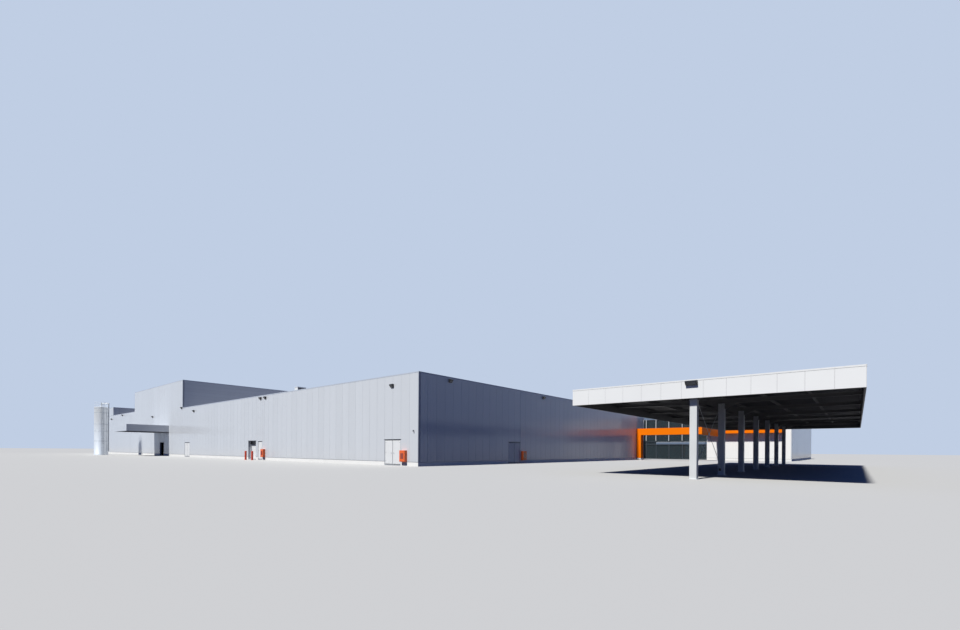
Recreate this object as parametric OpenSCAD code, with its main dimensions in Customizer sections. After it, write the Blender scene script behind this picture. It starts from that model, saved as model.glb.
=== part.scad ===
// A metal clad supermarket building at one tenth of its real size, in millimetres. It has a long
// low hall, a taller block, a loading bay under a clad canopy, a silo, an entrance court behind an
// orange portal, a white wing, and a parking canopy on a row of steel columns.
// Lengths are measured from the hall's sunlit front corner: the front runs from there to -X, the
// long side wall runs from there to +Y, and the canopy stands on the +X side.

/* [Hall] */
// Length of the front from end to end
hall_len = 12000; // [11700:60:13200]
// Depth from the front to the back wall
hall_depth = 10920; // [9600:60:12600]
// Height of the hall to the top of its coping
hall_h = 865; // [700:5:930]
// Distance from the corner to the tall block
tower_from = 6120; // [6060:20:6600]
// Length of the tall block along the front
tower_len = 3000; // [1800:60:3600]
// Height of the tall block
tower_h = 1360; // [1100:10:1600]
// Height of the block beyond the tall one
left_h = 940; // [700:10:980]
// Length of the raised plant room at the far end
raised_len = 1020; // [600:60:1200]
// Depth of the raised plant room
raised_depth = 3000; // [1200:60:4800]
// Height of the raised plant room
raised_h = 1140; // [1020:10:1250]

/* [Walls and roofs] */
// Thickness of the clad walls
wall_t = 25; // [15:1:40]
// Height of the concrete plinth
plinth_h = 38; // [20:1:60]
// Thickness of the floor slab
floor_t = 10; // [6:1:15]
// Thickness of the roof decks
roof_t = 25; // [10:1:40]
// Height of the parapets above the roof decks
parapet_h = 40; // [20:1:70]
// Thickness of the sheet copings on the parapets
coping_t = 3; // [2:0.5:5]
// Overhang of the copings outside the walls
coping_over = 1.5; // [1:0.5:4]
// Drop of the copings' drip edge
coping_drip = 8; // [5:1:14]
// Open joint between neighbouring plinth, deck and coping lengths
joint = 1; // [0.5:0.5:2]

/* [Doors] */
// Width of the double doorways
double_w = 240; // [200:5:280]
// Width of the single doorway
single_w = 120; // [90:5:140]
// Height of the doorways
door_h = 250; // [200:5:300]
// Height of the goods doorways
goods_h = 260; // [220:5:300]
// Distance from the corner to the corner door
corner_door_at = 240; // [230:5:400]
// Distance from the corner to the single service door
service_door_at = 3060; // [3000:5:3100]
// Distance from the corner to the porch with the sectional goods door
goods_door_at = 3240; // [3240:5:3400]
// Setback of the sectional goods door from the wall's face
goods_setback = 50; // [42:1:70]
// Distance from the corner to the far double door
far_door_at = 5760; // [5400:20:5780]
// Distance along the side wall to the side door
side_door_at = 1380; // [1200:20:1600]
// Width of the door frames' sections
jamb_w = 5; // [3:1:8]
// Thickness of the door leaves
leaf_t = 5; // [4:0.5:8]
// Setback of the leaves from the wall's face
leaf_setback = 2; // [0:0.5:5]
// Clearance above, below and between the leaves
leaf_gap = 5; // [3:0.5:8]
// Clearance beside the leaves' hinged edge
hinge_gap = 2; // [1.5:0.5:4]
// Radius of the pivot pins
pin_r = 1.2; // [0.8:0.1:1.6]
// Distance from the leaf's faces to the pivot
pin_inset = 1.5; // [1.5:0.1:2]
// Running clearance between pivot pin and leaf
pin_gap = 0.3; // [0.2:0.05:0.5]

/* [Entrance court] */
// Distance along the side wall to the court
court_from = 5280; // [4800:60:5600]
// Depth of the court from the portal to the entrance front
court_depth = 1350; // [900:10:1800]
// Setback of the court's side wall
court_recess = 360; // [120:10:600]
// End of the entrance glazing, beyond the corner
entrance_end = 850; // [600:10:1000]
// Height of the wall over the entrance glass
glass_below = 62; // [40:1:160]
// Thickness of the glass
glass_t = 3; // [2:0.5:5]
// Distance from the glazing's end to the first white fin
fin_margin = 193; // [120:1:240]
// Spacing of the white fins and mullions
fin_pitch = 254; // [180:2:300]
// Distance of the last fin from the court's side wall
end_fin = 58; // [40:2:100]
// Depth of the fins in front of the glass
fin_depth = 25; // [10:1:40]
// Width of the fins
fin_w = 8; // [5:0.5:12]
// Bottom of the fins
fin_from = 370; // [350:5:420]
// Bottom of the band between the two storeys of glass
band_from = 300; // [250:5:320]
// Height of the band between the storeys
band_h = 45; // [20:1:48]
// Width of the mullions and transoms
mullion_w = 6; // [4:0.5:10]
// Depth of the mullions
mullion_d = 12; // [8:1:14]

/* [Portal] */
// Width of the portal beyond the side wall
portal_w = 1090; // [1010:10:1200]
// Width of the post and of the side beam
post_w = 80; // [50:1:110]
// Thickness of the front beam and the post, front to back
post_d = 120; // [60:1:160]
// Underside of the beams
beam_from = 445; // [380:5:480]
// Height of the beams
beam_h = 115; // [60:1:140]
// Height of the post's foot
foot_h = 14; // [8:1:25]
// Underside of the wing's eave band
eave_from = 495; // [460:5:520]
// Height of the wing's eave band
eave_h = 65; // [40:1:90]

/* [Wing] */
// End of the wing, beyond the corner
wing_end = 2190; // [1900:10:2400]
// Width of the pier beside the eave band
pier_w = 120; // [60:5:200]

/* [Parking canopy] */
// Near edge of the canopy, beyond the corner
canopy_from = 1630; // [1500:10:1800]
// Width of the canopy across its columns
canopy_w = 1456; // [1200:8:1600]
// Distance of the canopy's front edge before the hall's front
canopy_front = 143; // [0:1:300]
// Height of the underside
soffit_z = 447; // [380:1:500]
// Height of the fascia
fascia_h = 103; // [90:1:130]
// Thickness of the fascia panels
fascia_t = 6; // [3:0.5:10]
// Number of columns
columns = 7; // [3:1:9]
// Spacing of the columns
column_pitch = 672; // [500:2:720]
// Width of the square columns
column_w = 37; // [25:1:40]
// Distance from the canopy's near edge to the column line
column_line = 726; // [600:2:800]
// Overhang of the canopy before the first column's centre
overhang_front = 50; // [35:1:200]
// Overhang of the canopy behind the last column's centre
overhang_back = 181; // [60:1:240]
// Width of the columns' base plates
base_w = 48; // [46:1:56]
// Thickness of the columns' base plates
base_t = 2; // [1:0.5:5]
// Height of the rafters' tops above the fascia's underside
rafter_rise = 60; // [50:1:70]
// Depth of the rafters at the column
rafter_root = 30; // [24:1:40]
// Depth of the rafters at their tips
rafter_tip = 20; // [15:1:24]
// Length of the haunches beside the columns
haunch_len = 72; // [40:2:120]
// Depth of the haunches below the rafters
haunch_d = 36; // [20:1:50]
// Width of the rafters' flanges
flange_w = 20; // [12:1:30]
// Thickness of the rafters' flanges
flange_t = 2.5; // [1.5:0.5:4]
// Thickness of the rafters' webs
web_t = 2; // [1:0.5:4]
// Number of purlins on each side of the columns
purlins = 3; // [2:1:5]
// Depth of the purlins
purlin_h = 18; // [10:1:25]
// Width of the purlins
purlin_w = 8; // [5:1:14]
// Thickness of the purlins' sheet
purlin_t = 1.5; // [1:0.5:2.5]
// Height of the roof sheet's troughs
trough_h = 9; // [5:1:15]
// Spacing of the roof sheet's troughs
trough_pitch = 60; // [40:5:90]
// Thickness of the roof sheet
sheet_t = 1.5; // [1:0.5:3]
// Height of the bracing's lower ends
brace_low = 55; // [25:1:90]
// Radius of the bracing rods
rod_r = 1.4; // [0.8:0.1:2]
// Radius of the ring where the rods meet
ring_r = 8; // [6:0.5:14]

/* [Loading dock] */
// Distance from the corner to the dock's canopy
dock_from = 6850; // [6700:10:6900]
// Length of the dock's canopy
dock_canopy_len = 880; // [700:20:1100]
// Depth of the dock's canopy
dock_canopy_d = 640; // [560:10:800]
// Height of the dock canopy's underside
dock_canopy_z = 450; // [380:5:520]
// Height of the dock canopy's clad edge
dock_canopy_h = 120; // [90:1:160]
// Thickness of the dock canopy's clad edge
dock_edge_t = 8; // [4:0.5:12]
// Thickness of the dock canopy's deck
dock_deck_t = 6; // [3:0.5:10]
// Number of beams under the dock canopy's deck
dock_beams = 3; // [2:1:4]
// Depth of those beams
dock_beam_d = 50; // [20:1:55]
// Distance from the corner to the open doorway under the canopy
dock_door_at = 7130; // [7000:10:7300]

/* [Silo] */
// Distance from the corner to the silo's axis
silo_at = 8740; // [8300:20:10600]
// Distance of the silo's axis before the front
silo_before = 640; // [500:5:900]
// Diameter of the silo
silo_d = 231; // [200:1:280]
// Height of the silo's shell
silo_h = 968; // [800:2:1200]
// Wall thickness of the silo
silo_wall = 5; // [3:0.5:10]
// Rise of the silo's roof
silo_rise = 25; // [10:1:60]
// Height of the rail on the silo
rail_h = 98; // [60:1:140]
// Radius of the rail's tubes
rail_r = 1.5; // [1:0.1:2.5]
// Width of the ladder
ladder_w = 45; // [35:1:60]
// Spacing of the ladder's rungs
rung_pitch = 30; // [25:1:40]
// Height at which the ladder's cage starts
cage_from = 230; // [150:10:300]
// Reach of the cage in front of the ladder
cage_reach = 24; // [10:1:40]
// Spacing of the cage's hoops
hoop_pitch = 100; // [60:5:150]
// Radius of the filling pipe
pipe_r = 9; // [5:0.5:12]
// Space between the filling pipe and the silo
pipe_gap = 14; // [8:1:30]
// Height of the filling pipe's lower end
pipe_from = 80; // [40:5:160]

/* [Fittings] */
// Width of the wall floodlights
lamp_w = 42; // [30:1:70]
// Height of the wall floodlights
lamp_h = 32; // [20:1:40]
// Depth of the wall floodlights
lamp_d = 26; // [15:1:35]
// Width of the floodlight on the parking canopy
canopy_lamp_w = 62; // [40:1:80]
// Width of the red cabinets
cabinet_w = 75; // [50:1:85]
// Height of the red cabinets
cabinet_h = 105; // [80:1:130]
// Depth of the red cabinets
cabinet_d = 30; // [20:1:40]
// Height of the cabinets above the ground
cabinet_z = 41; // [30:1:60]
// Radius of the bollards
bollard_r = 12.5; // [8:0.5:16]
// Height of the bollards
bollard_h = 120; // [90:1:140]
// Distance of the bollards before the front
bollard_before = 140; // [135:5:200]
// Width of the roof vent along the front
vent_w = 86; // [60:2:160]
// Depth of the roof vent from front to back
vent_d = 130; // [60:5:200]
// Height of the roof vent above the deck
vent_h = 222; // [100:2:300]
// Distance from the corner to the roof vent
vent_at = 3180; // [2500:20:4000]
// Distance from the front to the roof vent
vent_back = 600; // [300:20:1200]

/* [Hidden] */
$fn = 32;

// Places along X, with the hall's corner at 0
x_left = -hall_len;
x_tower = [-tower_from - tower_len, -tower_from];
x_raised = -hall_len + raised_len;
x_court = -court_recess;
x_dock = [-dock_from - dock_canopy_len, -dock_from];
// Places along Y, with the front at 0
y_in = wall_t;
y_back = hall_depth - wall_t;
y_entrance = court_from + court_depth;
// Levels of the wall tops and roof decks
hall_top = hall_h - coping_t;
glass_top = hall_top - glass_below;
tower_top = tower_h - coping_t;
left_top = left_h - coping_t;
raised_top = raised_h - coping_t;
function deck_z(height) = [height - parapet_h - roof_t, height - parapet_h];

// Parking canopy
canopy_len = overhang_front + overhang_back + (columns - 1) * column_pitch;
canopy_x = [canopy_from, canopy_from + canopy_w];
canopy_y = [-canopy_front, canopy_len - canopy_front];
column_x = canopy_from + column_line;
column_y = [for (i = [0:columns - 1]) canopy_y[0] + overhang_front + i * column_pitch];
rafter_z = soffit_z + rafter_rise;
column_top = rafter_z - rafter_root;
deck_from = rafter_z + purlin_h;
fascia_lip = 2;

// The whole model's middle, which stands on the origin
mid_x = (canopy_x[1] + fascia_lip + x_left - coping_over) / 2;
front_reach = max(dock_canopy_d, silo_before + silo_d / 2);
mid_y = (hall_depth + coping_over - front_reach) / 2;

// Doorways on the front: [start, end, height], measured from the corner to the left
front_doors = [
    [corner_door_at, corner_door_at + double_w, door_h],
    [service_door_at, service_door_at + single_w, door_h],
    [goods_door_at, goods_door_at + double_w, goods_h],
    [far_door_at, far_door_at + double_w, door_h]];
dock_door = [dock_door_at, dock_door_at + double_w, goods_h];
front_openings = concat(front_doors, [dock_door]);
side_door = [side_door_at, side_door_at + double_w, door_h];

// Stretches of wall that the doorways leave between two ends
function stretches(doors, end) = [for (i = [0:len(doors)])
    [i == 0 ? 0 : doors[i - 1][1], i == len(doors) ? end : doors[i][0]]];

// A box between two corners
module block(x, y, z)
    translate([x[0] - mid_x, y[0] - mid_y, z[0]]) cube([x[1] - x[0], y[1] - y[0], z[1] - z[0]]);

// Moves children to a place given from the hall's corner
module at(x, y, z = 0) translate([x - mid_x, y - mid_y, z]) children();

module floor_slabs() color("gainsboro") {
    z = [0, floor_t];
    block([x_left + wall_t, x_court - wall_t], [y_in, y_back], z);
    block([x_court - wall_t + joint, -wall_t], [y_in, court_from - wall_t], z);
    block([x_court - wall_t + joint, wing_end - wall_t], [y_entrance + wall_t, y_back], z);
}

module plinth() color("whitesmoke") {
    z = [0, plinth_h];
    for (s = stretches(front_openings, hall_len)) block([-s[1], -s[0]], [0, wall_t], z);
    block([-wall_t, 0], [y_in + joint, side_door[0]], z);
    block([-wall_t, 0], [side_door[1], court_from], z);
    block([x_court - wall_t, -wall_t - joint], [court_from - wall_t, court_from], z);
    block([x_court - wall_t, x_court], [court_from + joint, y_entrance], z);
    block([entrance_end, wing_end], [y_entrance, y_entrance + wall_t], z);
    block([wing_end - wall_t, wing_end], [y_entrance + wall_t + joint, y_back - joint], z);
    block([x_left, wing_end], [y_back, hall_depth], z);
    block([x_left, x_left + wall_t], [y_in + joint, y_back - joint], z);
}

module front_wall() color("lightsteelblue") {
    for (s = stretches(front_doors, tower_from))
        block([-s[1], -s[0]], [0, wall_t], [plinth_h, hall_top]);
    block([x_left, x_tower[0]], [0, wall_t], [plinth_h, left_top]);
}

// The cladding over each doorway, and the wall over the entrance glazing
module door_lintels() color("lightsteelblue") {
    for (d = front_doors) block([-d[1], -d[0]], [0, wall_t], [d[2], hall_top]);
    block([-wall_t, 0], [side_door[0], side_door[1]], [side_door[2], hall_top]);
    block([x_court - wall_t, entrance_end], [y_entrance, y_entrance + wall_t], [glass_top, hall_top]);
    block([-dock_door[1], -dock_door[0]], [0, wall_t], [dock_door[2], tower_top]);
}

module side_wall() color("slategray") {
    z = [plinth_h, hall_top];
    block([-wall_t, 0], [y_in, side_door[0]], z);
    block([-wall_t, 0], [side_door[1], court_from], z);
    block([wing_end - wall_t, wing_end], [y_entrance + wall_t, y_back], z);
}

module court_side_wall() color("slategray")
    block([x_court - wall_t, x_court], [court_from, y_entrance], [plinth_h, hall_top]);

// The back of the building, and the short return wall that faces the court
module rear_walls() color("lightsteelblue") {
    block([x_tower[1], wing_end], [y_back, hall_depth], [plinth_h, hall_top]);
    block([x_left, x_tower[0]], [y_back, hall_depth], [plinth_h, left_top]);
    block([x_court - wall_t, -wall_t], [court_from - wall_t, court_from], [plinth_h, hall_top]);
}

module west_wall() color("lightsteelblue")
    block([x_left, x_left + wall_t], [y_in, y_back], [plinth_h, left_top]);

module tower_end_walls() color("lightsteelblue") {
    z = [plinth_h, tower_top];
    block([x_tower[0], -dock_door[1]], [0, wall_t], z);
    block([-dock_door[0], x_tower[1]], [0, wall_t], z);
    block(x_tower, [y_back, hall_depth], z);
}

// The tall block's side walls, from the neighbouring roofs up
module tower_side_walls() color("slategray") {
    block([x_tower[1] - wall_t, x_tower[1]], [y_in, y_back], [deck_z(hall_h)[0], tower_top]);
    block([x_tower[0], x_tower[0] + wall_t], [y_in, y_back], [deck_z(left_h)[0], tower_top]);
}

// The plant room's walls: two stand on the walls below and two on the roof deck
module raised_walls() color("lightsteelblue") {
    difference() {
        block([x_left, x_raised], [0, raised_depth], [left_top, raised_top]);
        block([x_left + wall_t, x_raised - wall_t], [wall_t, raised_depth - wall_t],
            [left_top - 1, raised_top + 1]);
    }
    z = [deck_z(left_h)[1], left_top];
    block([x_raised - wall_t, x_raised], [wall_t, raised_depth], z);
    block([x_left + wall_t, x_raised], [raised_depth - wall_t, raised_depth], z);
}

module hall_roof() color("darkgray") {
    z = deck_z(hall_h);
    block([x_tower[1], x_court - wall_t], [y_in, y_back], z);
    block([x_court - wall_t + joint, -wall_t], [y_in, court_from - wall_t], z);
    block([x_court - wall_t + joint, wing_end - wall_t], [y_entrance + wall_t, y_back], z);
}

module block_roofs() color("darkgray") {
    block([x_tower[0] + wall_t, x_tower[1] - wall_t], [y_in, y_back], deck_z(tower_h));
    block([x_left + wall_t, x_tower[0]], [y_in, y_back], deck_z(left_h));
    block([x_left + wall_t, x_raised - wall_t], [wall_t, raised_depth - wall_t], deck_z(raised_h));
}

// A coping on a wall along X: a cap with a drip edge on its outer side, -1 or 1 along Y. The drip
// may start later than the cap, where another wall stands in its way.
module coping_x(x, y, top, out, drip_from = undef) {
    edge = out < 0 ? y : y + wall_t;
    drip_x = [is_undef(drip_from) ? x[0] : drip_from, x[1]];
    block(x, [min(y, edge + out * coping_over), max(y + wall_t, edge + out * coping_over)],
        [top, top + coping_t]);
    block(drip_x, [min(edge, edge + out * coping_over), max(edge, edge + out * coping_over)],
        [top - coping_drip, top]);
}

// The same on a wall along Y, with its outer side along X
module coping_y(x, y, top, out) {
    edge = out < 0 ? x : x + wall_t;
    block([min(x, edge + out * coping_over), max(x + wall_t, edge + out * coping_over)], y,
        [top, top + coping_t]);
    block([min(edge, edge + out * coping_over), max(edge, edge + out * coping_over)], y,
        [top - coping_drip, top]);
}

module parapet_coping() color("silver") {
    o = coping_over;
    // Hall and wing
    coping_x([x_tower[1], o], 0, hall_top, -1);
    coping_y(-wall_t, [y_in + joint, court_from + o], hall_top, 1);
    coping_x([x_court - wall_t, -wall_t - joint], court_from - wall_t, hall_top, 1, x_court);
    coping_y(x_court - wall_t, [court_from + o + joint, y_entrance - o - joint], hall_top, 1);
    coping_x([x_court - wall_t, wing_end + o], y_entrance, hall_top, -1, x_court);
    coping_y(wing_end - wall_t, [y_entrance + wall_t + joint, y_back - joint], hall_top, 1);
    coping_x([x_tower[1], wing_end + o], y_back, hall_top, 1);
    // Tall block
    coping_x([x_tower[0] - o, x_tower[1] + o], 0, tower_top, -1);
    coping_x([x_tower[0] - o, x_tower[1] + o], y_back, tower_top, 1);
    coping_y(x_tower[1] - wall_t, [y_in + joint, y_back - joint], tower_top, 1);
    coping_y(x_tower[0], [y_in + joint, y_back - joint], tower_top, -1);
    // Block beyond it
    coping_x([x_raised, x_tower[0]], 0, left_top, -1);
    coping_x([x_left - o, x_tower[0]], y_back, left_top, 1);
    coping_y(x_left, [raised_depth, y_back - joint], left_top, -1);
    // Plant room
    coping_x([x_left - o, x_raised + o], 0, raised_top, -1);
    coping_x([x_left - o, x_raised + o], raised_depth - wall_t, raised_top, 1);
    coping_y(x_left, [wall_t + joint, raised_depth - wall_t - joint], raised_top, -1);
    coping_y(x_raised - wall_t, [wall_t + joint, raised_depth - wall_t - joint], raised_top, 1);
}

// A sheet metal duct with a slightly wider cap
module roof_vent() color("silver") {
    z = deck_z(hall_h)[1];
    cap = 3;
    cap_t = 8;
    at(-vent_at, vent_back, z) {
        translate([-vent_w / 2, -vent_d / 2, 0]) cube([vent_w, vent_d, vent_h - cap_t]);
        translate([-vent_w / 2 - cap, -vent_d / 2 - cap, vent_h - cap_t])
            cube([vent_w + 2 * cap, vent_d + 2 * cap, cap_t]);
    }
}

module wing_front_wall() color("white")
    block([entrance_end, wing_end], [y_entrance, y_entrance + wall_t], [plinth_h, hall_top]);

// Lines of the entrance's mullions, counted from the end at the wing
entrance_x = [x_court - wall_t, entrance_end];
fins = 1 + floor((entrance_x[1] - fin_margin - x_court - end_fin - 2 * fin_w) / fin_pitch);
mullions = concat([for (i = [0:fins - 1]) entrance_x[1] - fin_margin - i * fin_pitch],
    [x_court + end_fin, x_court + joint + (fin_w - mullion_w) / 2]);
band_x = [mullions[fins - 1], entrance_x[1]];
glass_y = [y_entrance + mullion_d, y_entrance + mullion_d + glass_t];

// Mullions and transoms in front of the glass, with a white fin on each upper mullion
module entrance_frames() color("gainsboro") {
    y = [y_entrance, y_entrance + mullion_d];
    for (x = [entrance_x[0], mullions[fins], mullions[fins + 1]]) block([x, x + mullion_w], y, [0, glass_top]);
    for (x = concat([for (i = [0:fins - 1]) mullions[i]], [entrance_x[1] - mullion_w])) {
        block([x, x + mullion_w], y, [0, band_from]);
        block([x, x + mullion_w], y, [band_from + band_h, glass_top]);
    }
    for (z = [0, band_from - mullion_w, band_from + band_h, glass_top - mullion_w])
        block(entrance_x, y, [z, z + mullion_w]);
    for (x = mullions)
        block([x - (fin_w - mullion_w) / 2, x + (fin_w + mullion_w) / 2],
            [y_entrance - fin_depth, y_entrance], [fin_from, glass_top]);
}

// A panelled band over the ground floor's glass, from the last evenly spaced mullion to the wing
module entrance_band() color("lightslategray")
    block(band_x, [y_entrance, y_entrance + wall_t], [band_from, band_from + band_h]);

// Glass behind the mullions, in one sheet a storey that joins beside the band
module entrance_glazing() color("darkslategray") difference() {
    block(entrance_x, glass_y, [0, glass_top]);
    block([band_x[0], band_x[1] + 1], glass_y + [-1, 1], [band_from, band_from + band_h]);
}

// The post's clad shaft on a slightly wider foot
module portal_post() color("darkorange") {
    proud = 6;
    block([0, post_w], [court_from, court_from + post_d], [foot_h, beam_from]);
    block([-proud, post_w + proud], [court_from + proud, court_from + post_d + proud], [0, foot_h]);
}

// Front beam, side beam and, on both sides of its end, the thinner eave band on the wing's wall
module portal_beams() color("darkorange") {
    z = [beam_from, beam_from + beam_h];
    block([0, portal_w], [court_from, court_from + post_d], z);
    block([portal_w - post_w, portal_w], [court_from + post_d + joint, y_entrance], z);
    for (x = [[entrance_end, portal_w - post_w - joint], [portal_w + joint, wing_end - pier_w]])
        block(x, [y_entrance - post_d, y_entrance], [eave_from, eave_from + eave_h]);
}

// Square columns on base plates, up to the rafters
module canopy_columns() color("lightgray")
    for (y = column_y) at(column_x, y) {
        translate([-base_w / 2, -base_w / 2, 0]) cube([base_w, base_w, base_t]);
        translate([-column_w / 2, -column_w / 2, 0]) cube([column_w, column_w, column_top]);
    }

// The side view of a rafter, which tapers from the column to both tips
module rafter_outline(inset) {
    left = canopy_x[0] + fascia_t - column_x;
    right = canopy_x[1] - fascia_t - column_x;
    flat = column_w / 2;
    polygon([[left, -inset], [right, -inset], [right, inset - rafter_tip],
        [flat, inset - rafter_root], [-flat, inset - rafter_root], [left, inset - rafter_tip]]);
}

// The side view of the haunch on a column's right side, or of its flange alone: it ends a little
// inside the rafter's flange, and starts at the column at the given depth
module haunch_outline(start) {
    flat = column_w / 2;
    slope = (rafter_root - rafter_tip) / (canopy_x[1] - fascia_t - column_x - flat);
    end = slope * haunch_len - rafter_root;
    polygon([[flat, start], [flat + haunch_len, end + flange_t / 4],
        [flat + haunch_len, end - flange_t], [flat, -rafter_root - haunch_d]]);
}

// Rafters of web and flanges with a haunch on each side of the column, and stiffeners over it
module canopy_rafters() color("dimgray")
    for (y = column_y) at(column_x, y, rafter_z) {
        rotate([90, 0, 0]) {
            translate([0, 0, -web_t / 2]) linear_extrude(web_t) {
                rafter_outline(0);
                for (side = [0, 1]) mirror([side, 0]) haunch_outline(flange_t / 4 - rafter_root);
            }
            translate([0, 0, -flange_w / 2]) linear_extrude(flange_w) {
                difference() {
                    rafter_outline(0);
                    rafter_outline(flange_t);
                }
                for (side = [0, 1]) mirror([side, 0])
                    haunch_outline(flange_t - rafter_root - haunch_d);
            }
        }
        for (x = [-column_w / 2, column_w / 2 - flange_t])
            translate([x, -flange_w / 2, -rafter_root]) cube([flange_t, flange_w, rafter_root]);
    }

// Channel purlins on the rafters, from the front fascia to the back one
purlin_x = [for (i = [1:purlins]) each [
    column_x - i * (column_x - canopy_x[0] - fascia_t - purlin_w) / purlins,
    column_x + i * (canopy_x[1] - fascia_t - purlin_w - column_x) / purlins]];
module canopy_purlins() color("dimgray")
    for (x = concat([column_x], purlin_x))
        at(x, canopy_y[0] + fascia_t, rafter_z)
            rotate([90, 0, 0]) mirror([0, 0, 1])
                linear_extrude(canopy_len - 2 * fascia_t) difference() {
                    translate([-purlin_w / 2, 0]) square([purlin_w, purlin_h]);
                    translate([-purlin_w / 2 + purlin_t, purlin_t])
                        square([purlin_w, purlin_h - 2 * purlin_t]);
                }

// Crossed tie rods between the first two columns, joined by a ring, with a gusset at each corner
gusset = 14;
brace_y = [column_y[0] + column_w / 2, column_y[1] - column_w / 2];
brace_z = [brace_low, column_top - gusset / 2 - 3];
brace_mid = [(brace_y[0] + brace_y[1]) / 2, (brace_z[0] + brace_z[1]) / 2];
gusset_t = 1.6;
module canopy_bracing() color("gray") {
    ring_t = 4;
    half_y = brace_y[1] - brace_mid[0];
    half_z = brace_z[1] - brace_mid[1];
    reach = norm([half_y, half_z]) - ring_r - gusset / 2;
    at(column_x, brace_mid[0], brace_mid[1]) {
        for (flip = [0, 1], side = [-1, 1]) mirror([0, flip, 0])
            rotate([-atan2(side * half_y, side * half_z), 0, 0])
                translate([0, 0, ring_r]) cylinder(h = reach, r = rod_r);
        rotate([0, 90, 0]) translate([0, 0, -ring_t / 2]) difference() {
            cylinder(h = ring_t, r = ring_r + 1);
            translate([0, 0, -1]) cylinder(h = ring_t + 2, r = ring_r - 2);
        }
    }
    for (i = [0, 1], z = brace_z)
        block([column_x - gusset_t / 2, column_x + gusset_t / 2],
            [i == 0 ? brace_y[0] : brace_y[1] - gusset, i == 0 ? brace_y[0] + gusset : brace_y[1]],
            [z - gusset / 2, z + gusset / 2]);
}

// Trapezoidal roof sheet: its section repeats along the canopy and its troughs run across it
module canopy_deck() color("dimgray") {
    length = canopy_len - 2 * fascia_t;
    width = canopy_w - 2 * fascia_t;
    troughs = floor(length / trough_pitch);
    flat = trough_pitch / 6;
    line = [for (i = [0:troughs - 1]) each [
        [i * trough_pitch + flat, trough_h], [i * trough_pitch + 2 * flat, 0],
        [i * trough_pitch + 4 * flat, 0], [i * trough_pitch + 5 * flat, trough_h]]];
    over = concat([[0, trough_h]], line, [[length, trough_h]]);
    under = [for (i = [len(over) - 1:-1:0]) over[i] + [0, sheet_t]];
    at(canopy_x[0] + fascia_t, canopy_y[0] + fascia_t, deck_from)
        rotate([90, 0, 90]) linear_extrude(width) polygon(concat(over, under));
}

// Panelled fascia on four sides, with a thin lip along its top
module canopy_fascia() color("white") {
    z = [soffit_z, soffit_z + fascia_h];
    lip_z = [z[1] - fascia_lip, z[1]];
    for (i = [0, 1]) {
        y = [i == 0 ? canopy_y[0] : canopy_y[1] - fascia_t,
            i == 0 ? canopy_y[0] + fascia_t : canopy_y[1]];
        block(canopy_x, y, z);
        block([canopy_x[0] - fascia_lip, canopy_x[1] + fascia_lip],
            [y[0] - (i == 0 ? fascia_lip : 0), y[1] + (i == 0 ? 0 : fascia_lip)], lip_z);
        x = [i == 0 ? canopy_x[0] : canopy_x[1] - fascia_t,
            i == 0 ? canopy_x[0] + fascia_t : canopy_x[1]];
        inner = [canopy_y[0] + fascia_t + joint, canopy_y[1] - fascia_t - joint];
        block(x, inner, z);
        block([x[0] - (i == 0 ? fascia_lip : 0), x[1] + (i == 0 ? 0 : fascia_lip)], inner, lip_z);
    }
}

// A canopy that cantilevers from the tall block's front: a clad edge on three sides, a sunk deck,
// and beams of web and flanges under it
module dock_canopy() color("lightsteelblue") {
    inner_x = [x_dock[0] + dock_edge_t, x_dock[1] - dock_edge_t];
    inner_y = [dock_edge_t - dock_canopy_d, 0];
    top = dock_canopy_z + dock_canopy_h;
    deck_top = top - parapet_h;
    difference() {
        block(x_dock, [-dock_canopy_d, 0], [dock_canopy_z, top]);
        block(inner_x, inner_y + [0, 1], [deck_top, top + 1]);
        block(inner_x, inner_y + [0, 1], [dock_canopy_z - 1, deck_top - dock_deck_t]);
    }
    for (i = [1:dock_beams])
        at(x_dock[0] + i * dock_canopy_len / (dock_beams + 1), 0, deck_top - dock_deck_t - dock_beam_d)
            rotate([90, 0, 0]) linear_extrude(-inner_y[0]) difference() {
                translate([-flange_w / 2, 0]) square([flange_w, dock_beam_d]);
                for (side = [0, 1]) mirror([side, 0]) translate([web_t / 2, flange_t])
                    square([flange_w, dock_beam_d - 2 * flange_t]);
            }
}

// The porch behind the goods doorway: lined cheeks and soffit, closed by a sectional door
module goods_door() color("white") {
    door = front_doors[2];
    x = [-door[1], -door[0]];
    y = [wall_t, goods_setback];
    for (from = [x[0], x[1] - jamb_w]) block([from, from + jamb_w], y, [floor_t, door[2]]);
    block(x, y, [door[2] - jamb_w, door[2]]);
    block(x, [goods_setback, goods_setback + leaf_t], [floor_t, door[2]]);
}

module silo_shell() color("gainsboro") at(-silo_at, -silo_before, silo_wall) difference() {
    cylinder(h = silo_h - silo_wall, d = silo_d);
    translate([0, 0, -1]) cylinder(h = silo_h - silo_wall + 2, d = silo_d - 2 * silo_wall);
}

// The silo's base plate, and its conical roof with a railing round the edge
module silo_ends() color("gainsboro") {
    posts = 8;
    rail_at = silo_d / 2 - 4 * rail_r;
    at(-silo_at, -silo_before) cylinder(h = silo_wall, d = silo_d);
    at(-silo_at, -silo_before, silo_h) {
        cylinder(h = silo_rise, d1 = silo_d, d2 = silo_d / 6);
        for (i = [0:posts - 1]) rotate([0, 0, (i + 0.5) * 360 / posts])
            translate([rail_at, 0, 0]) cylinder(h = rail_h - rail_r, r = 0.7 * rail_r);
        for (z = [rail_h / 2, rail_h - rail_r]) translate([0, 0, z]) rotate_extrude()
            translate([rail_at - rail_r, -rail_r]) square(2 * rail_r);
    }
}

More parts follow.
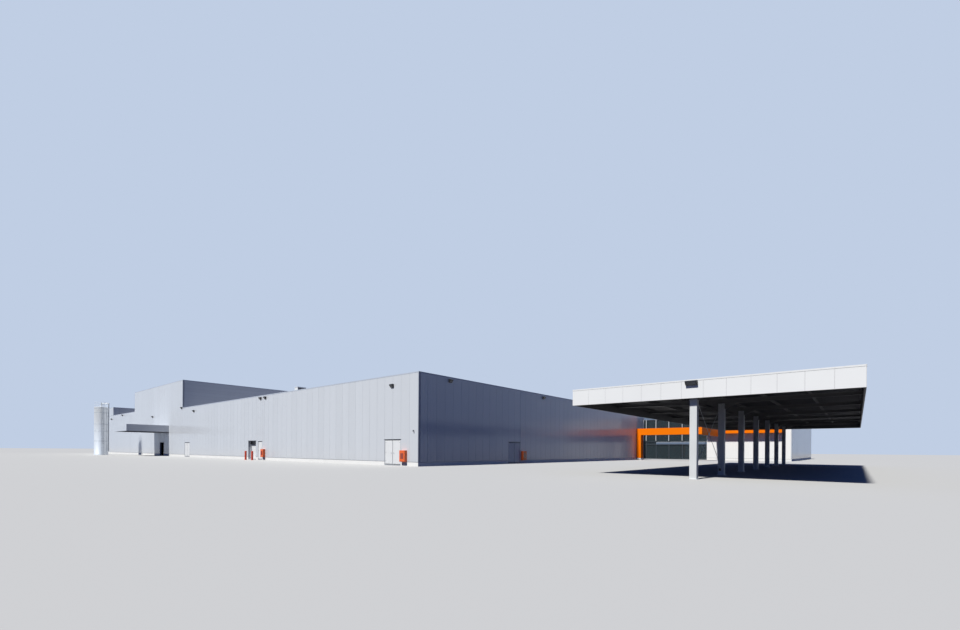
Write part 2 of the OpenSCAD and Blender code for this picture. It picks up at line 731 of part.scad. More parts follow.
// Half of a hoop round the ladder's cage, seen from above: an arm and a many sided arc
module hoop_outline(inset) {
    half = ladder_w / 2 - inset;
    arc = [for (angle = [-90:22.5:90]) [cage_reach + half * cos(angle), half * sin(angle)]];
    polygon(concat([[0, -half]], arc, [[0, half]]));
}

// The filling pipe: up the shell on brackets, between the rails and down into the roof
module filling_pipe() {
    reach = silo_d / 2 + pipe_gap + pipe_r;
    over = silo_h + rail_h * 3 / 4;
    bracket = 4;
    seat = sqrt(pow(silo_d / 2, 2) - pow(bracket / 2, 2));
    at(-silo_at, -silo_before) rotate([0, 0, 45]) {
        translate([reach, 0, pipe_from]) {
            cylinder(h = over - pipe_from, r = pipe_r);
            cylinder(h = pipe_r, r = 1.3 * pipe_r);
        }
        translate([0, 0, over]) rotate([0, 90, 0]) cylinder(h = reach, r = pipe_r);
        translate([0, 0, silo_h + silo_rise]) cylinder(h = over - silo_h - silo_rise, r = pipe_r);
        for (x = [0, reach]) translate([x, 0, over]) sphere(r = 1.2 * pipe_r);
        for (z = [silo_h / 5, silo_h / 2, silo_h * 4 / 5]) translate([seat, -bracket / 2, z])
            cube([reach - seat, bracket, bracket]);
    }
}

// Ladder on the silo's right side, on stand-offs, with a cage of hoops and straps
module silo_ladder() color("silver") {
    filling_pipe();
    stand_off = 14;
    rungs = floor((silo_h - rung_pitch) / rung_pitch);
    hoops = floor((silo_h + rail_h - cage_from) / hoop_pitch);
    seat = sqrt(pow(silo_d / 2, 2) - pow(ladder_w / 2 - rail_r, 2));
    strap = 1.6;
    at(-silo_at, -silo_before) {
        for (side = [-1, 1]) {
            translate([seat + stand_off, side * ladder_w / 2 - rail_r, 0])
                cube([2 * rail_r, 2 * rail_r, silo_h + rail_h]);
            for (z = [silo_h / 10, silo_h / 2, silo_h * 9 / 10])
                translate([seat, side * ladder_w / 2 - rail_r, z])
                    cube([stand_off, 2 * rail_r, 2 * rail_r]);
        }
        for (i = [1:rungs]) translate([seat + stand_off + rail_r, -ladder_w / 2, i * rung_pitch])
            rotate([-90, 0, 0]) cylinder(h = ladder_w, r = 0.8 * rail_r, $fn = 16);
        translate([seat + stand_off + rail_r, 0, 0]) {
            for (i = [0:hoops]) translate([0, 0, cage_from + i * hoop_pitch])
                linear_extrude(2 * rail_r) difference() {
                    hoop_outline(0);
                    translate([-1, 0]) hoop_outline(strap / 2);
                }
            for (angle = [-45, 0, 45]) translate([cage_reach, 0, cage_from]) rotate([0, 0, angle])
                translate([ladder_w / 2 - strap, -strap, 0])
                    cube([strap * 0.6, 2 * strap, hoops * hoop_pitch + 2 * rail_r]);
        }
    }
}

// A wedge shaped wall floodlight that faces down and to -Y, with its back at the origin
module floodlight(w, h)
    translate([-w / 2, 0, 0]) rotate([90, 0, 90]) linear_extrude(w)
        polygon([[0, h / 2], [-lamp_d * 0.8, h / 2], [-lamp_d, h / 3], [-lamp_d, h / 6],
            [-lamp_d / 3, -h / 2], [0, -h / 2]]);

// Floodlights on the front: [distance from the corner, height]
front_lamps = [[366, 762], [2970, 825], [3106, 825], [5560, 776], [7830, 770], [10120, 903],
    [11120, 848]];
tower_lamp = [30, 860];
side_lamps = [[410, 825], [2120, 820]];
wing_lamp = [300, 620];
module floodlights() color("dimgray") {
    for (l = front_lamps) at(-l[0], 0, l[1]) floodlight(lamp_w, lamp_h);
    at(x_tower[1] - tower_lamp[0], 0, tower_lamp[1]) floodlight(lamp_w, lamp_h);
    for (l = side_lamps) at(0, l[0], l[1]) rotate([0, 0, 90]) floodlight(lamp_w, lamp_h);
    at(wing_end, y_entrance + wing_lamp[0], wing_lamp[1]) rotate([0, 0, 90])
        floodlight(lamp_w, lamp_h);
    at(column_x, canopy_y[0], soffit_z + fascia_h - fascia_lip - lamp_h / 2 - 2)
        floodlight(canopy_lamp_w, lamp_h * 3 / 4);
}

// A dome camera under a short wall arm
module cctv_camera() color("white") {
    camera_at = [56, 330];
    arm = 12;
    dome_r = 5;
    at(-camera_at[0], 0, camera_at[1]) {
        translate([-2, -arm, -2]) cube([4, arm, 4]);
        translate([0, -arm, -8]) cylinder(h = 8, r = dome_r);
        translate([0, -arm, -8]) sphere(r = dome_r);
    }
}

module cabinets() color("orangered") {
    z = [cabinet_z, cabinet_z + cabinet_h];
    clear = 15;
    block([clear - corner_door_at, clear - corner_door_at + cabinet_w], [-cabinet_d, 0], z);
    block([clear - service_door_at, clear - service_door_at + cabinet_w], [-cabinet_d, 0], z);
    block([0, cabinet_d], [side_door[1] + clear, side_door[1] + clear + cabinet_w], z);
}

// Round bollards with a rounded top, on both sides of the service door
module bollards() color("orangered")
    for (s = [service_door_at - 2 * bollard_r, service_door_at + single_w + 4 * bollard_r])
        at(-s, -bollard_before) rotate_extrude() {
            square([bollard_r, bollard_h - bollard_r / 2]);
            square([bollard_r / 2, bollard_h]);
            translate([bollard_r / 2, bollard_h - bollard_r / 2]) circle(r = bollard_r / 2);
        }

module door_jambs() color("gray") {
    for (d = front_openings) {
        block([-d[1], jamb_w - d[1]], [0, wall_t], [floor_t, d[2]]);
        block([-d[0] - jamb_w, -d[0]], [0, wall_t], [floor_t, d[2]]);
    }
    block([-wall_t, 0], [side_door[0], side_door[0] + jamb_w], [floor_t, door_h]);
    block([-wall_t, 0], [side_door[1] - jamb_w, side_door[1]], [floor_t, door_h]);
}

// Height range of the leaves
leaf_z = [floor_t + leaf_gap, door_h - jamb_w - leaf_gap];
pin_len = leaf_gap - pin_gap;

// Pivot pins on the threshold and the head, at one place in the wall
module pins() {
    translate([0, 0, floor_t]) cylinder(h = pin_len, r = pin_r);
    translate([0, 0, leaf_z[1] + pin_gap]) cylinder(h = pin_len, r = pin_r);
}

// Places of the pivots: along the wall from the doorway's edge, and in from the wall's face
pivot_in = jamb_w + hinge_gap + pin_inset;
pivot_deep = leaf_setback + pin_inset;

// Thresholds and heads between the jambs, with the pivot pins
module door_heads() color("gray") {
    for (d = front_openings) {
        block([-d[1], -d[0]], [0, wall_t], [0, floor_t]);
        block([jamb_w - d[1], -d[0] - jamb_w], [0, wall_t], [d[2] - jamb_w, d[2]]);
    }
    block([-wall_t, 0], [side_door[0], side_door[1]], [0, floor_t]);
    block([-wall_t, 0], [side_door[0] + jamb_w, side_door[1] - jamb_w], [door_h - jamb_w, door_h]);
    for (i = [0, 3], s = [front_doors[i][0] + pivot_in, front_doors[i][1] - pivot_in])
        at(-s, pivot_deep) pins();
    at(pivot_in - front_doors[1][1], pivot_deep) pins();
    for (y = [side_door[0] + pivot_in, side_door[1] - pivot_in]) at(-pivot_deep, y) pins();
}

// Widths of the leaves
double_leaf_w = (double_w - 2 * jamb_w - 2 * hinge_gap - leaf_gap) / 2;
single_leaf_w = single_w - 2 * jamb_w - hinge_gap - leaf_gap;

// A flush leaf on the front, between two distances from the doorway's left edge
module front_leaf(door, from, width) color("white")
    block([from - door[1], from - door[1] + width], [leaf_setback, leaf_setback + leaf_t], leaf_z);

module corner_door_left_leaf() front_leaf(front_doors[0], jamb_w + hinge_gap, double_leaf_w);
module corner_door_right_leaf()
    front_leaf(front_doors[0], jamb_w + hinge_gap + double_leaf_w + leaf_gap, double_leaf_w);
module service_door_leaf() front_leaf(front_doors[1], jamb_w + hinge_gap, single_leaf_w);
module far_door_left_leaf() front_leaf(front_doors[3], jamb_w + hinge_gap, double_leaf_w);
module far_door_right_leaf()
    front_leaf(front_doors[3], jamb_w + hinge_gap + double_leaf_w + leaf_gap, double_leaf_w);

// A flush leaf on the side wall, from a distance behind the doorway's near edge
module side_leaf(from) color("slategray")
    block([-leaf_setback - leaf_t, -leaf_setback],
        [side_door[0] + from, side_door[0] + from + double_leaf_w], leaf_z);
module side_door_near_leaf() side_leaf(jamb_w + hinge_gap);
module side_door_far_leaf() side_leaf(jamb_w + hinge_gap + double_leaf_w + leaf_gap);

floor_slabs();
plinth();
front_wall();
door_lintels();
side_wall();
court_side_wall();
rear_walls();
west_wall();
tower_end_walls();
tower_side_walls();
raised_walls();
hall_roof();
block_roofs();
parapet_coping();
roof_vent();
wing_front_wall();
entrance_frames();
entrance_band();
entrance_glazing();
portal_post();
portal_beams();
canopy_columns();
canopy_rafters();
canopy_purlins();
canopy_bracing();
canopy_deck();
canopy_fascia();
dock_canopy();
goods_door();
silo_shell();
silo_ends();
silo_ladder();
floodlights();
cctv_camera();
cabinets();
bollards();
door_jambs();
door_heads();
corner_door_left_leaf();
corner_door_right_leaf();
service_door_leaf();
far_door_left_leaf();
far_door_right_leaf();
side_door_near_leaf();
side_door_far_leaf();
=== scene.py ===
# %% [markdown]
# # A metal clad supermarket building at one tenth of its real size
# The solid model gives every wall, roof, column and door its true place. This file dresses it: it
# lays panels on the walls, seams on the roofs and bolts on the steel, and gives each surface a
# finish that is worked out by nodes. Each step starts with a few words on what the real thing is,
# how it could be made here, and why one way was chosen.

# %% Load the frame
import math

import bmesh
import bpy
from mathutils import Matrix, Vector


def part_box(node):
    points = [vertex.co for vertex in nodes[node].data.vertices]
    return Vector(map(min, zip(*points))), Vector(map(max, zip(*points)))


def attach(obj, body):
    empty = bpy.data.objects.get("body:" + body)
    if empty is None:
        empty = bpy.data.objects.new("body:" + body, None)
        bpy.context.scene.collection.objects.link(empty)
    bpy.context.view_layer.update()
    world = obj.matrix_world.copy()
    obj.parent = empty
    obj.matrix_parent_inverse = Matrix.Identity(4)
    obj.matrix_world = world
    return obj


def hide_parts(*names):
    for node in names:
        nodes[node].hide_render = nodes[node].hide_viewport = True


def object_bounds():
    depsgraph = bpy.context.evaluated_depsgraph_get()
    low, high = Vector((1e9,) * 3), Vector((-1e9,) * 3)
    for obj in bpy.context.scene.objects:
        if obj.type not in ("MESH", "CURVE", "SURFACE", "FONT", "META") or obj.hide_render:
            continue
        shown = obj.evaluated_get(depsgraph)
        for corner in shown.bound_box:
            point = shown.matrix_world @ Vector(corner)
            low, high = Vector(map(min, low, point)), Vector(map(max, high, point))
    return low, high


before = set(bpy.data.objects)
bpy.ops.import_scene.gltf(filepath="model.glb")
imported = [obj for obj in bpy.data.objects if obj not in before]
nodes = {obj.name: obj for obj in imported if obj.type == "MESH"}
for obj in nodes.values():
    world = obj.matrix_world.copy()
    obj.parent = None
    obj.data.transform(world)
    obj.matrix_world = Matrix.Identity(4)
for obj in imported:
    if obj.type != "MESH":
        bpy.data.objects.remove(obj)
cad_low, cad_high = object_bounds()
print("nodes:", len(nodes), "box:", tuple(cad_low), tuple(cad_high))

# %% [markdown]
# ## Places and scale
# Everything on the real building is thought of in real metres from the hall's sunlit front corner:
# x to the right along the front, y to the back, z up. One real metre is a tenth of a metre here,
# so one small function turns a real place into a place in the frame. Small parts are given in
# millimetres of the model.

# %% Real metres to the frame
SCALE = 0.1
MM = 0.001
CORNER = Vector((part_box("front_wall")[1].x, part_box("tower_end_walls")[0].y, 0))


def real(x, y, z=0.0):
    """A place in the frame from real metres, counted from the hall's front corner."""
    return CORNER + Vector((x, y, z)) * SCALE


print("hall corner:", tuple(CORNER))

# %% [markdown]
# ## Camera
# The photograph was taken at eye height with a very wide lens that was shifted upwards, so that
# walls stay upright. A level camera with a lens shift repeats that, where a camera tilted upwards
# would lean the walls. The lens, the place and the small roll come from the vanishing points of
# the two long walls.

# %% Camera at the photograph's place
EYE = real(30.55, -27.98, 1.53)
AHEAD = Vector((-0.6394, 0.7689, 0))
LENS_MM = 17.0
SENSOR_MM = 36.0
SHIFT_UP = 0.1408
ROLL_DEGREES = 0.43
NEAREST, FARTHEST = 0.01, 500


def add_object(name, data):
    """A new object in the scene."""
    made = bpy.data.objects.new(name, data)
    bpy.context.scene.collection.objects.link(made)
    return made


camera_data = bpy.data.cameras.new("photo_camera")
camera_data.lens = LENS_MM
camera_data.sensor_width = SENSOR_MM
camera_data.shift_y = SHIFT_UP
camera_data.clip_start = NEAREST
camera_data.clip_end = FARTHEST
camera = add_object("photo_camera", camera_data)
level = AHEAD.to_track_quat("-Z", "Y").to_matrix().to_4x4()
roll = Matrix.Rotation(math.radians(ROLL_DEGREES), 4, "Z")
camera.matrix_world = Matrix.Translation(EYE) @ level @ roll
bpy.context.scene.camera = camera
print("camera at:", tuple(EYE))

# %% [markdown]
# A camera that was solved is best tested with numbers. This small sum says in which pixel
# a known corner falls, and the photograph says where it should fall.

# %% Where known corners fall in the picture
PICTURE_W, PICTURE_H = 960, 630
KNOWN_CORNERS = {
    "corner foot": real(0, 0), "corner top": real(0, 0, 8.65), "side end top": real(0, 52.8, 8.65),
    "tower top": real(-61.2, 0, 13.6), "canopy right": real(30.86, -1.43, 5.5),
    "canopy left": real(16.3, -1.43, 5.5)}


def pixel(place):
    """Where a place falls in the picture, in pixels from its top left corner."""
    local = camera.matrix_world.inverted() @ place
    focal = PICTURE_W * LENS_MM / SENSOR_MM
    return (PICTURE_W / 2 - focal * local.x / local.z,
            PICTURE_H / 2 + focal * local.y / local.z + SHIFT_UP * PICTURE_W)


for corner_name, corner_place in KNOWN_CORNERS.items():
    print(corner_name, [round(v, 1) for v in pixel(corner_place)])

# %% [markdown]
# ## Sun
# The light comes from in front of the long facade and half way up. An area lamp would fade over a
# building of this length, so one sun lamp is used, with a disc of a few degrees, because a wider
# disc has softer shadow edges.

# %% Sun lamp
SUN_FROM = Vector((-0.04, -0.615, 0.788))
SUN_STRENGTH = 4.75
SUN_COLOUR = (1.0, 0.985, 0.93)
SUN_SOFTNESS_DEGREES = 4.0
sun_data = bpy.data.lights.new("sun", "SUN")
sun_data.energy = SUN_STRENGTH
sun_data.color = SUN_COLOUR
sun_data.angle = math.radians(SUN_SOFTNESS_DEGREES)
sun = add_object("sun", sun_data)
sun.rotation_mode = "QUATERNION"
sun.rotation_quaternion = (-SUN_FROM).to_track_quat("-Z", "Y")
print("sun:", SUN_STRENGTH, "height in degrees:", round(math.degrees(math.asin(SUN_FROM.z))))

# %% [markdown]
# ## A short way to write node trees
# Shader trees and geometry trees are both nodes and links. A small class that adds a node, sets
# its values and wires its inputs keeps each tree readable as one list of steps.

# %% Node tree helper
class Tree:
    """Adds nodes to a tree. Inputs are given as socket name or number, and value or output."""

    def __init__(self, tree):
        self.tree = tree

    def add(self, kind, inputs=None, **settings):
        node = self.tree.nodes.new(kind)
        for key, value in settings.items():
            setattr(node, key, value)
        for key, value in (inputs or {}).items():
            if isinstance(value, bpy.types.NodeSocket):
                self.tree.links.new(value, node.inputs[key])
            else:
                node.inputs[key].default_value = value
        return node

    def math(self, operation, a, b=0.0):
        return self.add("ShaderNodeMath", {0: a, 1: b}, operation=operation).outputs[0]

    def vector(self, operation, a, b=(0, 0, 0)):
        return self.add("ShaderNodeVectorMath", {0: a, 1: b}, operation=operation).outputs[0]


def srgb(r, g, b):
    """A colour as a screen shows it, 0 to 255, turned into the linear values of a shader."""
    return tuple(((v / 255 + 0.055) / 1.055) ** 2.4 if v > 10 else v / 255 / 12.92 for v in (r, g, b))


print("middle grey is", round(srgb(128, 128, 128)[0], 3))

# %% [markdown]
# ## Surround
# A weak blue fill lights the shadows. The camera, gloss and clear glass see a plain pale backdrop
# in its place, so that metal has something even to mirror. A dome of lamps could do the same, but
# Light Path tells the rays apart with no lamp at all.

# %% World
FILL_COLOUR = srgb(92, 134, 226)
FILL_STRENGTH = 0.24
BACKDROP = srgb(192, 206, 228)


def seen_directly(tree):
    """1 for rays from the camera, a gloss or clear glass, and 0 for light that bounces."""
    rays = tree.add("ShaderNodeLightPath").outputs
    return tree.math("MAXIMUM", rays["Is Camera Ray"], tree.math(
        "MAXIMUM", rays["Is Glossy Ray"], rays["Is Transmission Ray"]))


world = bpy.data.worlds.new("surround")
bpy.context.scene.world = world
world.use_nodes = True
world.node_tree.nodes.clear()
around = Tree(world.node_tree)
fill = around.add("ShaderNodeBackground", {"Color": (*FILL_COLOUR, 1), "Strength": FILL_STRENGTH})
pale = around.add("ShaderNodeBackground", {"Color": (*BACKDROP, 1), "Strength": 1.0})
both = around.add("ShaderNodeMixShader", {
    0: seen_directly(around), 1: fill.outputs[0], 2: pale.outputs[0]})
around.add("ShaderNodeOutputWorld", {0: both.outputs[0]})
print("fill strength:", FILL_STRENGTH)

# %% [markdown]
# ## Steps that finishes share
# Every finish reads its place on the object, draws noises, and ends in one shader. These steps get
# a short name each. Places are read from Object coordinates, which a finished piece shares with
# the whole building, so a stain can run on from one piece to the next.

# %% A material's tree
class Paint(Tree):
    """A material's tree, with the steps that finishes share."""

    def place(self):
        return self.add("ShaderNodeTexCoord").outputs["Object"]

    def noise(self, place, scale, detail):
        return self.add("ShaderNodeTexNoise", {
            "Vector": place, "Scale": scale, "Detail": detail}).outputs[0]

    def remap(self, value, low, high, to_low, to_high):
        return self.add("ShaderNodeMapRange", {
            0: value, 1: low, 2: high, 3: to_low, 4: to_high}).outputs[0]

    def stretched(self, place, stretch):
        return self.add("ShaderNodeMapping", {"Vector": place, "Scale": stretch}).outputs[0]

    def scaled(self, colour, factor):
        return self.add("ShaderNodeVectorMath", {0: colour, "Scale": factor},
                        operation="SCALE").outputs[0]

    def blend(self, share, first, second):
        """The first colour where share is 0, and the second where it is 1."""
        return self.add("ShaderNodeMix", {0: share, 6: (*first, 1), 7: (*second, 1)},
                        data_type="RGBA").outputs[2]

    def relief(self, height, strength, distance):
        return self.add("ShaderNodeBump", {
            "Strength": strength, "Distance": distance, "Height": height}).outputs[0]

    def surface(self, inputs):
        skin = self.add("ShaderNodeBsdfPrincipled", inputs)
        self.add("ShaderNodeOutputMaterial", {0: skin.outputs[0]})


def new_material(name):
    """An empty material and its tree."""
    material = bpy.data.materials.new(name)
    material.use_nodes = True
    material.node_tree.nodes.clear()
    print("finish:", name)
    return material, Paint(material.node_tree)


# %% [markdown]
# ## Floor
# The building stands on a plain pale floor. What the camera sees of it is pale, while the light
# that bounces off it is dark, so that the shaded side and the canopy's underside stay as dark as
# they are outdoors.

# %% Studio floor
FLOOR_REACH = 60.0
FLOOR_SEEN = srgb(190, 190, 189)
FLOOR_BOUNCE = srgb(62, 62, 68)
FLOOR_CORNERS = ((-1, -1), (1, -1), (1, 1), (-1, 1))
floor_mesh = bpy.data.meshes.new("studio_floor")
floor_mesh.from_pydata([(x * FLOOR_REACH, y * FLOOR_REACH, 0) for x, y in FLOOR_CORNERS],
                       [], [(0, 1, 2, 3)])
floor = add_object("studio_floor", floor_mesh)
floor_material, t = new_material("studio_floor")
floor_tone = t.blend(seen_directly(t), FLOOR_BOUNCE, FLOOR_SEEN)
matt = t.add("ShaderNodeBsdfDiffuse", {"Color": floor_tone})
t.add("ShaderNodeOutputMaterial", {0: matt.outputs[0]})
floor_mesh.materials.append(floor_material)
print("floor reaches", FLOOR_REACH, "m each way")

# %% [markdown]
# ## The general finish
# A real surface is never one colour: sheet metal is slightly wavy and dusty, concrete is speckled,
# roofing is stained. One recipe covers most of it: two noises of different size vary the colour,
# the broad one also varies the gloss, and the fine one gives the bump. Each finish below only
# names its own colour, gloss and grain.

# %% Masks for a second colour
def inside(t, place, low, high):
    """1 where a place lies in the box from low to high, and 0 elsewhere."""
    middle, half = (Vector(high) + Vector(low)) / 2, (Vector(high) - Vector(low)) / 2
    away = t.vector("ABSOLUTE", t.vector("SUBTRACT", place, tuple(middle)))
    share = t.add("ShaderNodeSeparateXYZ", {0: t.vector("DIVIDE", away, tuple(half))}).outputs
    farthest = t.math("MAXIMUM", share[0], t.math("MAXIMUM", share[1], share[2]))
    return t.math("LESS_THAN", farthest, 1.0)


UP_LEAST = 0.05


def looks_up(t):
    """1 on faces that look up, and 0 on the others."""
    normal = t.add("ShaderNodeTexCoord").outputs["Normal"]
    return t.math("GREATER_THAN", t.add("ShaderNodeSeparateXYZ", {0: normal}).outputs[2], UP_LEAST)


# %% The general recipe
NOISE_LOW, NOISE_HIGH = 0.3, 0.7
BROAD_SHARE, FINE_SHARE = 0.7, 0.3
GLOSS_SPREAD = 0.15
GRAIN_DEPTH = 0.3 * MM


def finish(name, colour, rough=0.5, metallic=0.0, vary=0.06, patch=0.3, grain=0.004, bump=0.1,
           specular=0.4, coat=0.0, stretch=(1, 1, 1), other=None, upper=None):
    """A finish: patch and grain are sizes in metres, vary and bump are strengths from 0 to 1.

    other is (colour, lowest, highest corner) where the same paint has another colour, and upper
    is the colour of the faces that look up.
    """
    material, t = new_material(name)
    place = t.place()
    broad = t.noise(t.stretched(place, stretch), 1 / patch, 3.0)
    fine = t.noise(place, 1 / grain, 2.0)
    mixed = t.math("ADD", t.math("MULTIPLY", broad, BROAD_SHARE), t.math("MULTIPLY", fine, FINE_SHARE))
    base = colour
    if other:
        base = t.blend(inside(t, place, other[1], other[2]), colour, other[0])
    if upper:
        base = t.blend(looks_up(t), colour, upper)
    t.surface({
        "Base Color": t.scaled(base, t.remap(mixed, NOISE_LOW, NOISE_HIGH, 1 - vary, 1 + vary)),
        "Roughness": t.remap(broad, NOISE_LOW, NOISE_HIGH, rough * (1 - GLOSS_SPREAD),
                             min(1, rough * (1 + GLOSS_SPREAD))),
        "Metallic": metallic, "Specular IOR Level": specular, "Coat Weight": coat,
        "Normal": t.relief(fine, bump, GRAIN_DEPTH)})
    return material


# %% [markdown]
# ## Silver wall panels
# The walls are sandwich panels with a silver coat. Each panel leaves the factory with a tone of
# its own, and the thin sheet is never quite flat. Under the clear top coat the paint is matt, so
# the near wall looks plain while the far end, seen at a low angle, mirrors the orange portal. The
# tone is an attribute that the panel tree stores on each panel. A slow noise bends the
# reflections, rain leaves upright streaks, and splashed dust greys the foot of each wall.

# %% Cladding
COAT_ROUGHNESS = 0.12
RAIN_STRETCH = (14, 14, 0.9)
TONE_SHARE, RAIN_SHARE = 0.5, 0.5
MIXED_LOW, MIXED_HIGH = 0.15, 0.85
TONE_LOW, TONE_HIGH = 0.97, 1.025
ROUGH_SPREAD = 0.05
SPLASH_HEIGHT = 75 * MM
SPLASH_STRENGTH = 0.16
SPLASH_GRAIN = 22.0
WAVE_SCALE, WAVE_DEPTH = 3.0, 3 * MM


def cladding(name, colour, rough, coat):
    """The coat of a wall panel. Its tone comes from the panel's own attribute."""
    material, t = new_material(name)
    place = t.place()
    tone = t.add("ShaderNodeAttribute", attribute_name="tone").outputs["Fac"]
    rain = t.noise(t.stretched(place, RAIN_STRETCH), 1.0, 4.0)
    mixed = t.math("ADD", t.math("MULTIPLY", tone, TONE_SHARE), t.math("MULTIPLY", rain, RAIN_SHARE))
    shade = t.remap(mixed, MIXED_LOW, MIXED_HIGH, TONE_LOW, TONE_HIGH)
    height = t.add("ShaderNodeSeparateXYZ", {0: place}).outputs[2]
    splash = t.remap(height, 0.0, SPLASH_HEIGHT, SPLASH_STRENGTH, 0.0)
    clean = t.math("SUBTRACT", 1.0, t.math("MULTIPLY", splash, t.noise(place, SPLASH_GRAIN, 3.0)))
    t.surface({
        "Base Color": t.scaled(colour, t.math("MULTIPLY", shade, clean)),
        "Roughness": t.remap(rain, NOISE_LOW, NOISE_HIGH, rough - ROUGH_SPREAD, rough + ROUGH_SPREAD),
        "Specular IOR Level": 0.2, "Coat Weight": coat, "Coat Roughness": COAT_ROUGHNESS,
        "Normal": t.relief(t.noise(place, WAVE_SCALE, 1.0), 0.2, WAVE_DEPTH)})
    return material


SILVER = cladding("silver_panel", srgb(208, 212, 218), 0.5, 1.0)

# %% [markdown]
# ## Finishes of one piece in two colours
# Some pieces are one solid but carry two colours: the portal's foot is left white; the canopy's
# fascia is painted dark on the inside, a painted shade under the canopy, under a pale top lip; and
# the entrance's fins are white while its mullions are painted dark, a painted shade. A box in space
# says where the second colour is, so the paint follows the place and needs no extra mesh.

# %% Boxes of the second colours
FAR = 20.0
COLLAR_H = 34 * MM
LIP_T = 2.2 * MM
FIN_CLEAR = 0.5 * MM
entrance_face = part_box("wing_front_wall")[0].y
fascia_low, fascia_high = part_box("canopy_fascia")
FIN_BOX = ((-FAR, -FAR, -FAR), (FAR, entrance_face - FIN_CLEAR, FAR))
FOOT_BOX = ((-FAR, -FAR, -FAR), (FAR, FAR, COLLAR_H))
LIP_BOX = ((-FAR, -FAR, fascia_high.z - LIP_T), (FAR, FAR, FAR))
print("entrance face at y", round(entrance_face, 4))

# %% [markdown]
# ## Concrete and roofing
# Cast concrete is speckled and dull, and roofing membrane is stained where water stood. Both get
# broad patches and a coarse grain.

# %% Concrete and roofing
CONCRETE = finish("floor_concrete", srgb(166, 164, 158), 0.7, vary=0.12, patch=0.5, grain=0.006)
PLINTH = finish("plinth_concrete", srgb(243, 243, 241), 0.75, vary=0.05, patch=0.2, grain=0.003,
                bump=0.25)
MEMBRANE = finish("roof_membrane", srgb(150, 152, 155), 0.85, vary=0.12, patch=0.9, grain=0.01,
                  bump=0.3)
SEAM = finish("roof_seam", srgb(124, 126, 130), 0.75, vary=0.08)

# %% [markdown]
# ## Sheet metal
# Coated sheet is smoother and varies little. Galvanised steel shows its crystals, so its patches
# are small and strong. The silo's coat is part metal under a clear coat, and its patches are
# stretched upwards, as rain leaves them.

# %% Sheet metal
LINER = finish("wall_liner", srgb(168, 173, 180), 0.55, vary=0.04)
FLASHING = finish("flashing_silver", srgb(190, 195, 203), 0.4, vary=0.03)
# Painted shade: a dark sheet that stands for the thin shadow lines under drips and in slats.
PAINTED_SHADE_SHEET = finish("painted_shade_sheet", srgb(84, 88, 96), 0.45, vary=0.05)
COPING = finish("coping_sheet", srgb(186, 194, 207), 0.4, vary=0.04, patch=0.4)
GALVANISED = finish("galvanised", srgb(188, 192, 196), 0.42, 0.35, vary=0.12, patch=0.02)
WHITE_PANEL = finish("white_panel", srgb(243, 243, 242), 0.4, vary=0.02, patch=0.5)
BAND = finish("band_panel", srgb(104, 120, 142), 0.35, vary=0.04)
ORANGE = finish("orange_sheet", srgb(250, 124, 8), 0.5, vary=0.03, specular=0.05,
                other=(srgb(240, 240, 238), *FOOT_BOX))
# Painted shade: the deck's faces that look down are dark, for the shade under the canopy, and those that
# look up are paler.
DECK_PAINTED_SHADE = finish("dark_sheet", srgb(98, 96, 97), 0.55, vary=0.08,
                    upper=srgb(158, 161, 166))
FASCIA = finish("fascia_panel", srgb(236, 237, 238), 0.38, vary=0.02)
# Painted shade: the fascia's inside is dark grey for the shade under the canopy; its top lip keeps the
# pale colour.
FASCIA_INSIDE_PAINTED_SHADE = finish("fascia_inside_painted_shade", srgb(84, 84, 87), 0.5, vary=0.04,
                     other=(srgb(240, 241, 242), *LIP_BOX))
SILO = finish("silo_coat", srgb(247, 250, 252), 0.42, 0.65, vary=0.05,
              stretch=(1, 1, 0.25), coat=0.5)
SILO_BAND = finish("silo_band", srgb(176, 186, 194), 0.4, 0.3, vary=0.05, patch=0.05)
VENT_WHITE = finish("vent_sheet", srgb(226, 229, 232), 0.42, vary=0.04, patch=0.05)

# %% [markdown]
# ## Painted steel, doors and small parts
# Enamel on small parts is even and a little glossy, with a weak clear coat on the cabinets and
# the lamps. Handled parts are bare satin steel.

# %% Painted steel and frames
COLUMN = finish("column_paint", srgb(218, 221, 222), 0.45, vary=0.04, patch=0.1, grain=0.003)
# Painted shade: the rafters, purlins and their bolts are a darker grey than the columns, for the shade
# under the canopy.
CANOPY_STEEL_PAINTED_SHADE = finish("dark_steel", srgb(126, 125, 126), 0.55, vary=0.08, patch=0.1)
ROD = finish("zinc_rod", srgb(212, 215, 216), 0.4, 0.1, vary=0.06, patch=0.05)
# Painted shade: the mullions in the glass plane are dark grey-blue, while the fins in front are white.
ENTRANCE_FRAME_PAINTED_SHADE = finish("window_frame", srgb(88, 94, 104), 0.4, vary=0.03,
                        other=(srgb(236, 237, 238), *FIN_BOX))
DOOR_FRAME = finish("door_frame", srgb(172, 176, 183), 0.4, vary=0.05)
DOOR_WHITE = finish("door_pale", srgb(228, 230, 232), 0.4, vary=0.03, patch=0.06)
DOOR_GREY = finish("door_silver", srgb(196, 201, 209), 0.38, vary=0.03, patch=0.06)

# %% Small parts
HOUSING = finish("lamp_housing", srgb(44, 45, 49), 0.4, 0.2, vary=0.06, patch=0.02)
LAMP_GLASS = finish("lamp_glass", srgb(98, 104, 112), 0.15, vary=0.03, coat=0.3)
CAMERA_CASE = finish("camera_case", srgb(42, 44, 50), 0.3, vary=0.05, patch=0.01, coat=0.3)
CABINET = finish("cabinet_enamel", srgb(236, 104, 44), 0.36, vary=0.06, patch=0.05, coat=0.2)
CABINET_DARK = finish("cabinet_window", srgb(150, 58, 40), 0.15, vary=0.06, patch=0.03, coat=0.5)
BOLLARD = finish("bollard_paint", srgb(214, 74, 46), 0.42, vary=0.08, patch=0.03)
